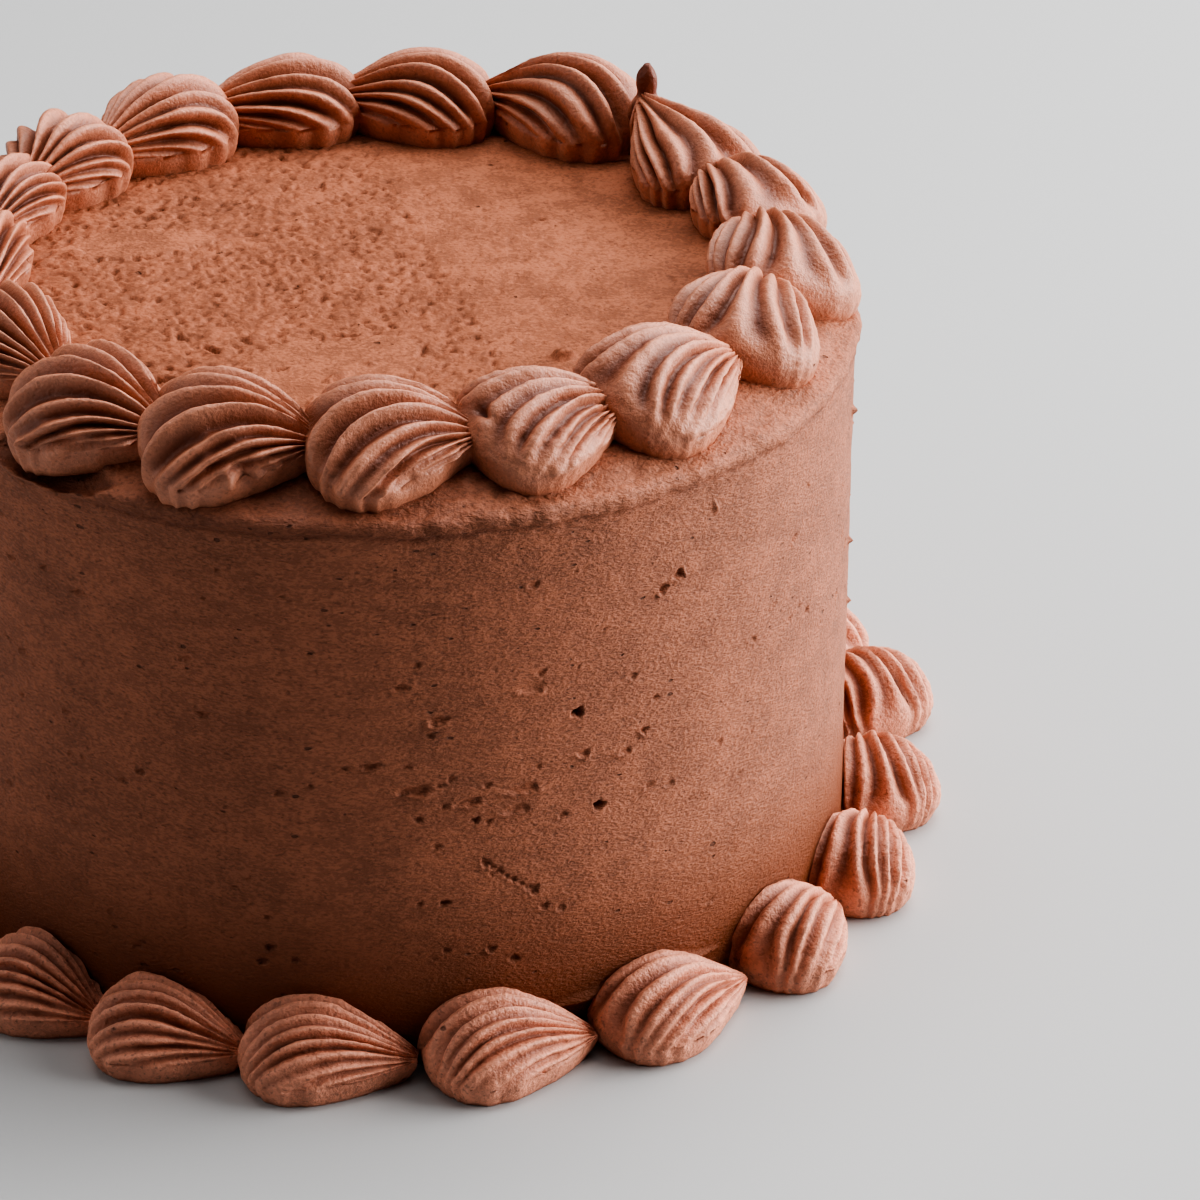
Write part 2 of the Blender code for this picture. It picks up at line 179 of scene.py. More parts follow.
# A hollow that a burst bubble left in the side, or a flake that stands out where the depth is negative:
# azimuth in degrees, height, size across and along and depth in millimetres, how far its lower lip stands
# out and how many degrees it leans
Pit = namedtuple("Pit", "azimuth height across tall depth lip lean", defaults=(0.12, 6.0))
SIDE_PITS = tuple(Pit(*row) for row in (
    (-67.3, 56.4, 2.1, 1.5, 1.6), (-64.5, 39.9, 1.9, 1.6, 1.5), (-91.2, 51.2, 3.4, 1.2, 0.46, 0.31),
    (-101.3, 46.3, 2.0, 1.1, 0.33), (-86.1, 47.0, 5.2, 1.7, 0.53, 0.44),
    (-80.0, 44.4, 4.0, 1.5, 0.43, 0.41), (-73.7, 45.5, 4.8, 1.5, 0.43, 0.41),
    (-74.5, 42.2, 4.2, 1.4, 0.43, 0.37), (-83.5, 58.4, 3.4, 1.3, 0.40, 0.37),
    (-72.8, 62.0, 4.6, 1.7, 0.22, 0.27), (-82.9, 27.8, 1.9, 1.0, 0.78), (-103.7, 17.2, 1.9, 1.1, 0.59),
    (-103.0, 24.9, 1.2, 0.8, 0.39), (-102.8, 19.8, 2.0, 1.1, 0.52, 0.34), (-99.9, 18.0, 1.4, 0.9, 0.45),
    (-85.7, 27.9, 1.2, 0.8, 0.39), (-82.8, 19.6, 1.4, 0.9, 0.45), (-77.6, 19.0, 1.6, 1.0, 0.45, 0.34),
    (-74.9, 16.8, 1.8, 1.1, 0.59), (-118.0, 45.7, 1.6, 1.0, 0.45), (-84.5, 56.0, 1.6, 0.9, 0.33),
    (-85.9, 67.6, 1.5, 0.9, 0.33), (-66.5, 49.4, 2.2, 1.2, 0.39, 0.34), (-72.1, 48.7, 1.4, 0.9, 0.33),
    (-82.8, 44.1, 1.4, 0.9, 0.33), (-87.0, 51.0, 1.4, 0.9, 0.33), (-82.1, 48.6, 1.5, 1.0, 0.33),
    (-78.0, 46.9, 1.6, 1.0, 0.39), (-79.4, 41.3, 1.6, 1.0, 0.59), (-77.9, 40.8, 1.4, 0.9, 0.39),
    (-85.8, 42.2, 1.5, 0.9, 0.52), (-58.6, 50.4, 1.7, 1.0, 0.53, 0.42), (-61.1, 47.8, 2.0, 1.1, 0.39, 0.34),
    (-57.1, 55.2, 1.5, 0.9, 0.52), (-71.3, 24.9, 1.8, 1.0, 0.52), (-69.2, 24.0, 1.6, 0.9, 0.39),
    (-83.8, 37.5, 1.5, 0.9, 0.39), (-69.0, 39.7, 1.6, 0.9, 0.39), (-47.3, 43.2, 1.5, 1.0, 0.33),
    (-54.1, 74.4, 2.0, 1.4, 0.59, 0.51, 35.0), (-56.3, 72.9, 1.8, 1.3, 0.52, 0.51, 35.0),
    (-48.7, 83.0, 3.6, 1.1, -0.8, 0.0, -66.0), (-9.3, 76.8, 1.8, 2.0, -1.3, 0.0),
    (-10.2, 54.9, 1.8, 1.8, -1.2, 0.0), (-8.8, 43.4, 1.8, 1.8, -1.0, 0.0),
    (-66.6, 7.4, 12.5, 2.4, -1.7, 0.0, 7.0), (-52.6, 8.0, 16.0, 2.6, -1.6, 0.0, -9.0),
))
# The trail of small hollows that runs down to the right, as azimuth, height and size
PIT_TRAIL = (
    (-78.2, 33.9, 1.9), (-77.4, 33.0, 1.2), (-76.6, 32.2, 1.5), (-75.8, 31.2, 1.0),
    (-75.0, 30.4, 1.4), (-74.1, 29.5, 1.2), (-73.3, 28.6, 1.4), (-72.6, 27.9, 1.7),
)
SCATTERED_PITS = 190

# How far the side's broad swells, drawn-out smears and fine grain reach
SIDE_SWELL = 0.22 * MM
SIDE_SMEAR = 0.09 * MM
SIDE_GRAIN = 0.06 * MM

# The ragged edge along the rim, left by the last sweep over the top, and where it is roughest
LIP_HEIGHT = 88.3 * MM
LIP_OUT = 0.75 * MM
LIP_START = LIP_HEIGHT - 5.0 * MM
ROUGH_RIM = (-76.0 * DEGREE, 15.0 * DEGREE)
# The stretch of the rim under the shells at the front that gets painted shadow of the shells, as its middle
# and half width
RIM_SHADOW_STRETCH = (-99.0 * DEGREE, 23.0 * DEGREE)

# The smooth plates that a warm spatula left on the top, as corners in millimetres
PLATES = (
    ((-17, -25), (-12, -23), (-4, -23.5), (2, -21), (6.5, -24), (7.5, -32), (3, -36.5), (-4, -38),
     (-7, -42), (-8, -50), (-15, -50), (-15, -41), (-20, -36), (-19.5, -29)),
    ((-50, 7), (-48, 12), (-44, 15.5), (-36, 17.5), (-28, 17), (-24.5, 13), (-30, 8.5), (-38, 6.5)),
)
PLATE_RISE = 0.30 * MM

# A torn hollow or, where the depth is negative, a crumb or a lifted flake on the top: place, length,
# width and depth in millimetres, and the way it runs in degrees
Tear = namedtuple("Tear", "x y long wide depth way", defaults=(0.0,))
TEARS = tuple(Tear(*row) for row in (
    (-24.0, -26.0, 4.5, 1.6, 0.9, -50.0), (-21.0, -33.6, 5.0, 2.2, 1.3, -20.0),
    (-31.5, -36.0, 4.0, 2.5, 1.2, 10.0), (-14.6, -33.4, 3.4, 1.0, 0.6, 20.0),
    (-5.3, -21.2, 5.0, 1.1, 0.8, -8.0), (6.8, -27.0, 4.6, 0.9, 0.6, 80.0),
    (-0.8, -31.6, 2.0, 1.0, -0.4, -40.0), (-5.5, -36.0, 5.0, 1.3, -0.8, 40.0),
    (1.5, -37.6, 5.5, 1.2, -0.6, -12.0), (-9.0, -44.0, 4.5, 1.2, -0.6, 75.0),
    (-18.0, -21.5, 3.5, 1.4, -0.5, 30.0), (-46.0, 8.5, 3.6, 1.3, -0.7, 15.0),
    (-40.0, 16.6, 4.5, 0.9, 0.5, 10.0), (27.9, -29.5, 4.2, 2.8, -1.5, 20.0),
    (30.4, -31.5, 3.0, 2.0, 0.9, 20.0), (21.0, -24.0, 1.6, 1.0, -0.6, 60.0),
    (14.5, -27.0, 4.5, 0.9, 0.35, 10.0), (20.3, 40.9, 1.4, 1.0, 0.7), (19.8, 25.1, 1.3, 0.9, 0.6),
    (26.0, 20.4, 1.5, 1.0, 0.7),
))
# The top is smoother to the right of the line between these places, and pimply within reach of another, all
# in millimetres
SMEAR_FROM = (1.0, 40.5)
SMEAR_TO = (15.6, -19.6)
PIMPLY_AT = (-9.1, 4.1)
PIMPLY_REACH = 13.0

# The unevenness of the top, from its broad swells to its finest grain and the wobble of its edges: the size
# of the waves in millimetres and a seed for each
TOP_WAVES = ((30.0, 5.0), (5.0, 6.0), (1.5, 7.0), (0.95, 8.0), (1.6, 9.0))
# How far the swells, lumps, smears, torn holes and pimples of the top reach
TOP_SWELL = 0.15 * MM
TOP_LUMPS = 0.10 * MM
TOP_SMEAR = 0.10 * MM
HOLE_DEPTH = 1.4 * MM
PIMPLE_RISE = 0.35 * MM

# How finely the side and the top are divided, and how near to each other two vertices become one
OUTLINE_STEPS = 2000
OUTLINE_PLACES = 1001
SIDE_COLUMNS = 500
RIM_BAND = (84.0 * MM, 95.0 * MM)
WALL_LINES, RIM_LINES, SHOULDER_LINES = 79, 31, 7
PIT_CUTS = 3
TOP_CELLS = 304
MERGE_DISTANCE = 0.002 * MM

# Small lumps on the piped shells, the least froth in millimetres, and how much more the frothiest have
SHELL_LUMPS = 0.24 * MM
LEAST_FROTH = 0.05
MORE_FROTH = 0.16


def smooth_step(low, high, value):
    """0 below low, 1 above high and an even S between them."""
    part = np.clip((value - low) / (high - low), 0.0, 1.0)
    return part * part * (3.0 - 2.0 * part)


def ripple(place, size, seed):
    """A smooth random value of about -1 to 1 that changes over this size."""
    return noise.noise(place / size + Vector((seed, seed * 0.37, -seed * 0.61)))


def shoulder_height(radius):
    """Height of the cake's top at this radius: level in the middle, rounding down to the rim."""
    out = np.clip((radius - FLAT_TOP_RADIUS) / (RIM_RADIUS - FLAT_TOP_RADIUS), 0.0, 1.0)
    return TOP_HEIGHT - (TOP_HEIGHT - RIM_HEIGHT) * out ** SHOULDER_POWER


def heading(azimuth):
    """The level way out from the cake's axis at this azimuth."""
    return Vector((math.cos(azimuth), math.sin(azimuth), 0.0))


def turn_from(start, azimuth):
    """How far round azimuths lie from this one, half a turn at most either way."""
    return (azimuth - start + math.pi) % FULL_TURN - math.pi


def wall_radius(height):
    """Radius of the side: it leans in a little and swells again just under the rim."""
    lean = FOOT_RADIUS + (RIM_RADIUS - LIP_SWELL - FOOT_RADIUS) * height / RIM_HEIGHT
    return lean + LIP_SWELL * math.exp(-((height - RIM_HEIGHT) / LIP_BAND) ** 2)


# Materials


# How a cream looks close up: its grain and burst bubbles per metre, how lumpy the grain is, how large the
# largest bubbles are and what share of them burst, the depth of its bumps in millimetres, how much its
# dark specks, its shine, the painted shade low on the side and the painted shade and shadow in its hollows,
# grooves and creases show, and how many times as wide as tall a spatula drew the grain out
Cream = namedtuple("Cream", "grain lumps bubbles largest share bumps specks shine moist deep streak")
SIDE_ICING = Cream(1300.0, 0.4, 400.0, 0.26, 0.34, 0.42, 0.55, 0.28, 1.0, 0.56, 2.1)
TOP_ICING = Cream(1500.0, 0.7, 420.0, 0.24, 0.30, 0.20, 0.45, 0.08, 0.0, 0.36, 1.0)
TOP_PIPING = Cream(1900.0, 0.5, 260.0, 0.14, 0.10, 0.20, 0.40, 0.42, 0.0, 1.0, 1.0)
FOOT_PIPING = Cream(1700.0, 0.6, 330.0, 0.18, 0.20, 0.30, 0.65, 0.42, 0.0, 0.95, 1.0)
# How far the edges of the bubbles wander, along each axis
BUBBLE_WARP = (0.9 * MM, 0.9 * MM, 0.9 * MM)
# How much of each part of the colour is left under the painted shade of the hollows and under the painted
# shade low on the side, and the heights over which the low one fades out
PAINTED_SHADE_SHARES = (0.30, 0.19, 0.15, 1.0)
FOOT_SHADE_SHARES = (0.52, 0.38, 0.24, 1.0)
FOOT_SHADE_BAND = (4.0 * MM, 34.0 * MM)
# How light the dark specks are, beside the cream itself, and the painted shade inside the burst bubbles
SPECK_SHADE = 0.45
BUBBLE_SHADE = 0.3


def feed(tree, socket, value):
    """Link an input to another node's output, or set it to a plain value."""
    if isinstance(value, bpy.types.NodeSocket):
        tree.links.new(value, socket)
    else:
        socket.default_value = value


def add_node(tree, kind, **settings):
    """Add a shader node, and set its own options and feed its inputs by name."""
    node = tree.nodes.new(kind)
    for name, value in settings.items():
        label = name.replace("_", " ").title()
        if label in node.inputs:
            feed(tree, node.inputs[label], value)
        else:
            setattr(node, name, value)
    return node


def maths(tree, operation, *values, clamp=False):
    """A Math node whose inputs are sockets or plain numbers; gives its output socket."""
    node = add_node(tree, "ShaderNodeMath", operation=operation, use_clamp=clamp)
    for socket, value in zip(node.inputs, values):
        feed(tree, socket, value)
    return node.outputs[0]


def noise_texture(tree, place, **settings):
    """A noise texture over this place."""
    return add_node(tree, "ShaderNodeTexNoise", vector=place, **settings)


def fade_range(tree, value, low, high):
    """0 where the value is under low, 1 where it is over high, smooth between."""
    node = add_node(
        tree, "ShaderNodeMapRange", interpolation_type="SMOOTHSTEP", value=value, from_min=low, from_max=high)
    return node.outputs["Result"]


def new_group(name, numbers, outputs):
    """A shader node group with number inputs after one vector input, and value outputs."""
    group = bpy.data.node_groups.new(name, "ShaderNodeTree")
    group.interface.new_socket("Place", in_out="INPUT", socket_type="NodeSocketVector")
    for label, default in numbers:
        socket = group.interface.new_socket(label, in_out="INPUT", socket_type="NodeSocketFloat")
        socket.default_value = default
    for label in outputs:
        group.interface.new_socket(label, in_out="OUTPUT", socket_type="NodeSocketFloat")
    return group, group.nodes.new("NodeGroupInput"), group.nodes.new("NodeGroupOutput")


def grain_group():
    """Whipped cream's grain: its height, from fine specks to soft lumps, and the darkest specks alone."""
    numbers = [("Scale", 2400.0), ("Lumps", 0.4)]
    group, given, result = new_group("Cream grain", numbers, ["Height", "Specks"])
    place = given.outputs["Place"]
    fine, lumps, specks = (
        noise_texture(
            group, place, detail=detail, roughness=roughness,
            scale=maths(group, "MULTIPLY", given.outputs["Scale"], share))
        for detail, roughness, share in ((3.0, 0.6, 1.0), (2.0, 0.5, 0.18), (1.0, 0.5, 0.8)))
    soft = maths(group, "MULTIPLY", lumps.outputs["Fac"], given.outputs["Lumps"])
    group.links.new(maths(group, "ADD", fine.outputs["Fac"], soft), result.inputs["Height"])
    group.links.new(fade_range(group, specks.outputs["Fac"], 0.60, 0.72), result.inputs["Specks"])
    return group


def bubble_group():
    """Small burst air bubbles scattered over the cream, as a mask that is 1 inside each."""
    numbers = [("Scale", 300.0), ("Largest", 0.22), ("Share", 0.5)]
    group, given, result = new_group("Air bubbles", numbers, ["Mask"])
    warp = noise_texture(group, given.outputs["Place"], scale=700.0, detail=1.0)
    nudge = add_node(group, "ShaderNodeVectorMath", operation="MULTIPLY_ADD")
    for socket, value in zip(nudge.inputs, (warp.outputs["Color"], BUBBLE_WARP, given.outputs["Place"])):
        feed(group, socket, value)
    cells = add_node(
        group, "ShaderNodeTexVoronoi", randomness=1.0, vector=nudge.outputs[0], scale=given.outputs["Scale"])
    chance = add_node(group, "ShaderNodeSeparateColor", color=cells.outputs["Color"])
    picked = maths(group, "LESS_THAN", chance.outputs[0], given.outputs["Share"])
    size = maths(group, "POWER", chance.outputs[1], 2.5)
    reach = maths(group, "MULTIPLY", maths(group, "MULTIPLY", size, given.outputs["Largest"]), picked)
    depth = maths(group, "SUBTRACT", reach, cells.outputs["Distance"])
    sharp = maths(group, "MULTIPLY", depth, 14.0, clamp=True)
    group.links.new(sharp, result.inputs["Mask"])
    return group


def use_group(tree, group, place, **values):
    """Place a group in a material with its own values."""
    return add_node(tree, "ShaderNodeGroup", node_tree=group, place=place, **values)


def mixed(tree, factor, first, second):
    """A colour between two others, each a socket or a plain colour; gives its output socket."""
    node = add_node(tree, "ShaderNodeMix", data_type="RGBA", factor=factor, a=first, b=second)
    return node.outputs["Result"]


def new_material(name):
    """A new material with its node tree, its surface and the place on the piece that is shaded."""
    material = bpy.data.materials.new(name)
    material.use_nodes = True
    tree = material.node_tree
    place = tree.nodes.new("ShaderNodeTexCoord").outputs["Object"]
    return material, tree, tree.nodes["Principled BSDF"], place


def cream_colour(tree, place, settings, cream, grain, bubbles):
    """The cream's colour: mottled and speckled, with painted shade in its bubbles, in its hollows and
    creases, and low on the side.
    """
    patches = noise_texture(tree, place, scale=90.0, detail=3.0, roughness=0.6)
    cloud = fade_range(tree, patches.outputs["Fac"], 0.3, 0.7)
    speckle = fade_range(tree, grain.outputs["Height"], 0.40 + 0.5 * cream.lumps, 0.62 + 0.5 * cream.lumps)
    tone = maths(tree, "ADD", maths(tree, "MULTIPLY", cloud, 0.35), maths(tree, "MULTIPLY", speckle, 0.65))
    dark, pale = (shade(settings.colour, 1.0 + way * settings.mottle) for way in (-1.0, 1.0))
    height = add_node(tree, "ShaderNodeSeparateXYZ", vector=place).outputs["Z"]
    painted_shade_mask = add_node(tree, "ShaderNodeAttribute", attribute_name="deep").outputs["Fac"]
    # Painted shade low on the side, full at the foot and fading out up the band.
    low = maths(tree, "SUBTRACT", 1.0, fade_range(tree, height, *FOOT_SHADE_BAND))
    colour = mixed(tree, tone, dark, pale)
    # The specks are the cream's own. The insides of the bubbles, the places that the mesh's shade attribute
    # marks (hollows, grooves, creases and the shells' shadow) and the foot of the side get painted shade.
    for mask, share, darker in (
            (grain.outputs["Specks"], cream.specks, shade(settings.colour, SPECK_SHADE)),
            (bubbles, 0.75, shade(settings.colour, BUBBLE_SHADE)),
            (painted_shade_mask, cream.deep, tinted(settings.colour, PAINTED_SHADE_SHARES)),
            (low, cream.moist, tinted(settings.colour, FOOT_SHADE_SHARES))):
        colour = mixed(tree, maths(tree, "MULTIPLY", mask, share), colour, darker)
    return colour


def cream_material(name, settings, groups, cream):
    """Chocolate buttercream: a mottled brown, grainy and dotted with burst bubbles."""
    material, tree, surface, place = new_material(name)
    drawn_out = add_node(tree, "ShaderNodeVectorMath", operation="MULTIPLY")
    feed(tree, drawn_out.inputs[0], place)
    feed(tree, drawn_out.inputs[1], (1.0, 1.0, cream.streak))
    grain = use_group(tree, groups["grain"], drawn_out.outputs[0], scale=cream.grain, lumps=cream.lumps)
    bubbles = use_group(
        tree, groups["bubbles"], drawn_out.outputs[0],
        scale=cream.bubbles, largest=cream.largest, share=cream.share).outputs["Mask"]
    colour = cream_colour(tree, place, settings, cream, grain, bubbles)
    rough = maths(tree, "MULTIPLY_ADD", grain.outputs["Height"], 0.12, settings.roughness - 0.08)
    relief = maths(tree, "MULTIPLY_ADD", bubbles, -1.6, grain.outputs["Height"])
    bump = add_node(tree, "ShaderNodeBump", strength=1.0, distance=cream.bumps * MM, height=relief)
    tree.links.new(colour, surface.inputs["Base Color"])
    tree.links.new(rough, surface.inputs["Roughness"])
    tree.links.new(bump.outputs["Normal"], surface.inputs["Normal"])
    surface.inputs["Specular IOR Level"].default_value = cream.shine
    return material


def shade(colour, share):
    """A colour made this many times as light."""
    return (colour[0] * share, colour[1] * share, colour[2] * share, 1.0)


def tinted(colour, shares):
    """A colour with each of its parts made this many times as light."""
    return tuple(value * share for value, share in zip(shade(colour, 1.0), shares))


def shared_groups():
    """The two effects that all the creams share, built once."""
    if "Cream grain" not in bpy.data.node_groups:
        grain_group()
        bubble_group()
    return {
        "grain": bpy.data.node_groups["Cream grain"],
        "bubbles": bpy.data.node_groups["Air bubbles"],
    }


def ready_material(name, settings, cream):
    """A cream's material, made the first time that it is asked for."""
    if name in bpy.data.materials:
        return bpy.data.materials[name]
    return cream_material(name, settings, shared_groups(), cream)


# Meshes


def add_object(name, data):
    """Put a mesh, a camera or a light into the scene."""
    item = bpy.data.objects.new(name, data)
    bpy.context.scene.collection.objects.link(item)
    return item


def finish_piece(name, mesh, material, nodes):
    """Link a piece, smooth it, and let it ride and stand for its nodes."""
    piece = add_object(name, mesh)
    mesh.materials.append(material)
    mesh.polygons.foreach_set("use_smooth", [True] * len(mesh.polygons))
    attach(piece, "root")
    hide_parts(*nodes)
    return piece


def skin(form, lines):
    """Four-sided faces between each line of vertices and the next."""
    for lower, upper in zip(lines, lines[1:]):
        for corners in zip(lower, lower[1:], upper[1:], upper):
            form.faces.new(corners)


def unrolled_grid(columns, rows):
    """A flat bmesh grid with its lines at these places across and up."""
    form = bmesh.new()
    skin(form, [[form.verts.new((float(x), float(y), 0.0)) for x in columns] for y in rows])
    return form


def lines_with_shade(form, points, deep, count):
    """Vertices at these points in lines of this many, each of which keeps how much painted shade its colour
    gets.
    """
    layer = form.verts.layers.float.new("deep")
    vertices = []
    for point, value in zip(points, deep):
        vertex = form.verts.new(point)
        vertex[layer] = float(value)
        vertices.append(vertex)
    return [vertices[start:start + count] for start in range(0, len(vertices), count)]


def to_mesh(form, name):
    """Merge what coincides, face everything outward, and give the mesh."""
    bmesh.ops.remove_doubles(form, verts=form.verts[:], dist=MERGE_DISTANCE)
    bmesh.ops.dissolve_degenerate(form, edges=form.edges[:], dist=MERGE_DISTANCE)
    bmesh.ops.recalc_face_normals(form, faces=form.faces[:])
    mesh = bpy.data.meshes.new(name)
    form.to_mesh(mesh)
    form.free()
    return mesh


def scoop_push(point):
    """Carry a point of the rim inward and down to the bottom of the scoop, if it lies in the scoop."""
    turned = Matrix.Rotation(-SCOOP_AZIMUTH, 3, "Z") @ point
    rough = 0.10 * ripple(point, 3.0 * MM, 4.0) + 0.05 * ripple(point, 1.1 * MM, 9.0)
    sizes = [size * (1.0 + rough) for size in SCOOP_HALF_SIZES]
    local = turned - Vector((SCOOP_RADIUS, 0.0, SCOOP_HEIGHT))
    scaled = Vector(value / size for value, size in zip(local, sizes))
    if scaled.length_squared >= 1.0:
        return point
    way = Vector((-math.sqrt(0.5), 0.0, -math.sqrt(0.5)))
    step = Vector(value / size for value, size in zip(way, sizes))
    quadratic = step.length_squared
    linear = scaled.dot(step)
    rest = scaled.length_squared - 1.0
    reach = (-linear + math.sqrt(linear * linear - quadratic * rest)) / quadratic
    return point + Matrix.Rotation(SCOOP_AZIMUTH, 3, "Z") @ (way * reach)


def outline_point(part, wall_share):
    """Radius and height of the plain form this part of the way up the side and over the shoulder."""
    if part < wall_share:
        height = RIM_HEIGHT * part / wall_share
        return wall_radius(height), height
    radius = RIM_RADIUS + (SEAM_RADIUS - RIM_RADIUS) * (part - wall_share) / (1.0 - wall_share)
    return radius, shoulder_height(radius)


def side_outline(count):
    """The side's outline from the foot over the soft rim to the seam: how far along it each place is, and its
    radius, its height and the two parts of its outward way."""
    wall_share = RIM_HEIGHT / (RIM_HEIGHT + RIM_RADIUS - SEAM_RADIUS)
    fine = np.array([outline_point(step / OUTLINE_STEPS, wall_share) for step in range(OUTLINE_STEPS + 1)])
    steps = np.hypot(*np.diff(fine, axis=0).T)
    travel = np.concatenate([[0.0], np.cumsum(steps)])
    half = int(RIM_SOFTNESS / (travel[-1] / OUTLINE_STEPS))
    kernel = np.hanning(2 * half + 3)[1:-1]
    kernel /= kernel.sum()
    padded = np.pad(fine, ((half, half), (0, 0)), mode="reflect", reflect_type="odd")
    soft = np.stack([np.convolve(padded[:, axis], kernel, mode="valid") for axis in (0, 1)], axis=1)
    places = np.linspace(0.0, travel[-1], count)
    outline = np.stack([np.interp(places, travel, soft[:, axis]) for axis in (0, 1)], axis=1)
    ways = np.gradient(outline, axis=0)
    ways /= np.linalg.norm(ways, axis=1)[:, None]
    return places, np.column_stack([outline, ways[:, 1], -ways[:, 0]])


def rim_line(azimuth):
    """Height of the ragged edge under the rim, this way round the cake."""
    around = heading(azimuth) * FOOT_RADIUS
    return LIP_HEIGHT + 0.9 * MM * ripple(around, 13.0 * MM, 21.0) + 0.5 * MM * ripple(around, 2.6 * MM, 22.0)


def stretch_share(stretch, azimuth):
    """1 in the middle of a stretch of the rim and falling to 0 beyond its ends."""
    away = abs(turn_from(stretch[0], azimuth)) / stretch[1]
    return math.exp(-away ** 4)


def rim_lip(azimuth, height, place):
    """The ragged edge under the rim and the rough band above it."""
    if height < LIP_START:
        return 0.0
    around = heading(azimuth) * FOOT_RADIUS
    line = rim_line(azimuth)
    over = float(smooth_step(line - 0.25 * MM, line + 0.15 * MM, height))
    over *= 1.0 - float(smooth_step(line + 1.0 * MM, line + 3.2 * MM, height))
    rough = stretch_share(ROUGH_RIM, azimuth)
    ragged = max(0.55 + 0.9 * ripple(around, 9.0 * MM, 23.0) + 0.5 * rough, 0.0)
    bumps = (0.30 + 0.30 * rough) * MM * ripple(place, 1.5 * MM, 24.0)
    return LIP_OUT * over * ragged + bumps * float(smooth_step(LIP_START, line, height))


def rim_shade(azimuth, height):
    """How much painted shade falls in the crease under the rim's edge, and painted shadow of the shells along
    the stretch under them.
    """
    if height < LIP_START:
        return 0.0
    below = (rim_line(azimuth) - height) / MM
    # Painted shade in the crease, and painted shadow of the shells along the stretch under them.
    crease = 0.5 * math.exp(-((below - 0.3) / 0.4) ** 2)
    moist = 0.65 * stretch_share(RIM_SHADOW_STRETCH, azimuth) * float(smooth_step(1.6, 0.2, below))
    return crease + moist


def side_relief(azimuth, height, place):
    """How far the side's icing stands out from its plain form."""
    swell = SIDE_SWELL * ripple(place, 38.0 * MM, 1.0)
    stretched = heading(azimuth) * 26.0 * MM
    stretched.z = 1.8 * height
    smear = SIDE_SMEAR * ripple(stretched, 4.0 * MM, 2.0)
    grain = SIDE_GRAIN * ripple(place, 1.6 * MM, 3.0)
    return swell + smear + grain + rim_lip(azimuth, height, place)


def all_side_pits():
    """The pits named above, the trail of small ones, and others scattered all round the side."""
    draw = random.Random(12)
    pits = list(SIDE_PITS)
    for azimuth, height, size in PIT_TRAIL:
        pits.append(Pit(azimuth, height, size, 0.7 * size, 0.3 * size, lean=-30.0))
    for _ in range(SCATTERED_PITS):
        size = 0.7 + 0.9 * draw.random() ** 2
        across = size * draw.uniform(1.1, 1.9)
        place = (draw.uniform(-180.0, 180.0), draw.uniform(14.0, 84.0))
        pits.append(Pit(*place, across, 0.7 * size, 0.24 * size, 0.15, draw.uniform(-8.0, 18.0)))
    return pits


def places_in_pit(pit, azimuth, height):
    """Places by a pit as parts of its half sizes: across it and up it."""
    x = turn_from(pit.azimuth * DEGREE, azimuth) * FOOT_RADIUS / MM
    y = height / MM - pit.height
    lean = pit.lean * DEGREE
    across = (x * math.cos(lean) + y * math.sin(lean)) / (0.5 * pit.across)
    up = (y * math.cos(lean) - x * math.sin(lean)) / (0.5 * pit.tall)
    return across, up


def pit_push(pit, azimuth, height):
    """How far a pit draws the surface in at these places, or its lip pushes it out."""
    across, up = places_in_pit(pit, azimuth, height)
    turn = np.arctan2(up, across)
    ragged = 1.0 + 0.16 * np.sin(3.0 * turn + pit.azimuth) + 0.10 * np.sin(5.0 * turn + 2.0 * pit.height)
    away = np.hypot(across, up) * ragged
    hollow = 1.0 - smooth_step(0.6 if pit.depth > 0.0 else -0.4, 1.05, away)
    lower_left = np.clip(0.25 - (0.5 * across + up) / np.maximum(away, 0.1), 0.0, None)
    ring = np.exp(-((away - 1.2) / 0.25) ** 2) * lower_left
    return (pit.lip * ring - pit.depth * hollow) * MM


def near_pits(pits, azimuth, height, margin):
    """Which of these places lie in a pit or within this margin of its edge."""
    near = np.zeros(len(azimuth), dtype=bool)
    for pit in pits:
        sideways = turn_from(pit.azimuth * DEGREE, azimuth) * FOOT_RADIUS
        lean = abs(math.sin(pit.lean * DEGREE))
        wide = 0.5 * (pit.across * (1.0 - lean) + pit.tall * lean) * MM + margin
        tall = 0.5 * (pit.tall * (1.0 - lean) + pit.across * lean) * MM + margin
        near |= (np.abs(sideways) < wide) & (np.abs(height - pit.height * MM) < tall)
    return near


def side_rows(length):
    """How far up the outline each row of the side's grid lies, closer together near the rim."""
    wall = np.linspace(0.0, RIM_BAND[0], WALL_LINES)
    rim = np.linspace(*RIM_BAND, RIM_LINES)
    shoulder = np.linspace(RIM_BAND[1], length, SHOULDER_LINES)
    return np.concatenate([wall, rim[1:], shoulder[1:]])


def side_grid(pits, places, outline):
    """The unrolled side, divided more finely at its pits."""
    form = unrolled_grid(np.linspace(0.0, FULL_TURN, SIDE_COLUMNS + 1), side_rows(places[-1]))
    middles = np.array([face.calc_center_median()[:2] for face in form.faces])
    heights = np.interp(middles[:, 1], places, outline[:, 1])
    near = near_pits(pits, middles[:, 0] + QUARTER_TURN, heights, 0.8 * MM)
    chosen = {edge for face, is_near in zip(form.faces, near) if is_near for edge in face.edges}
    bmesh.ops.subdivide_edges(form, edges=list(chosen), cuts=PIT_CUTS, use_grid_fill=True)
    return form


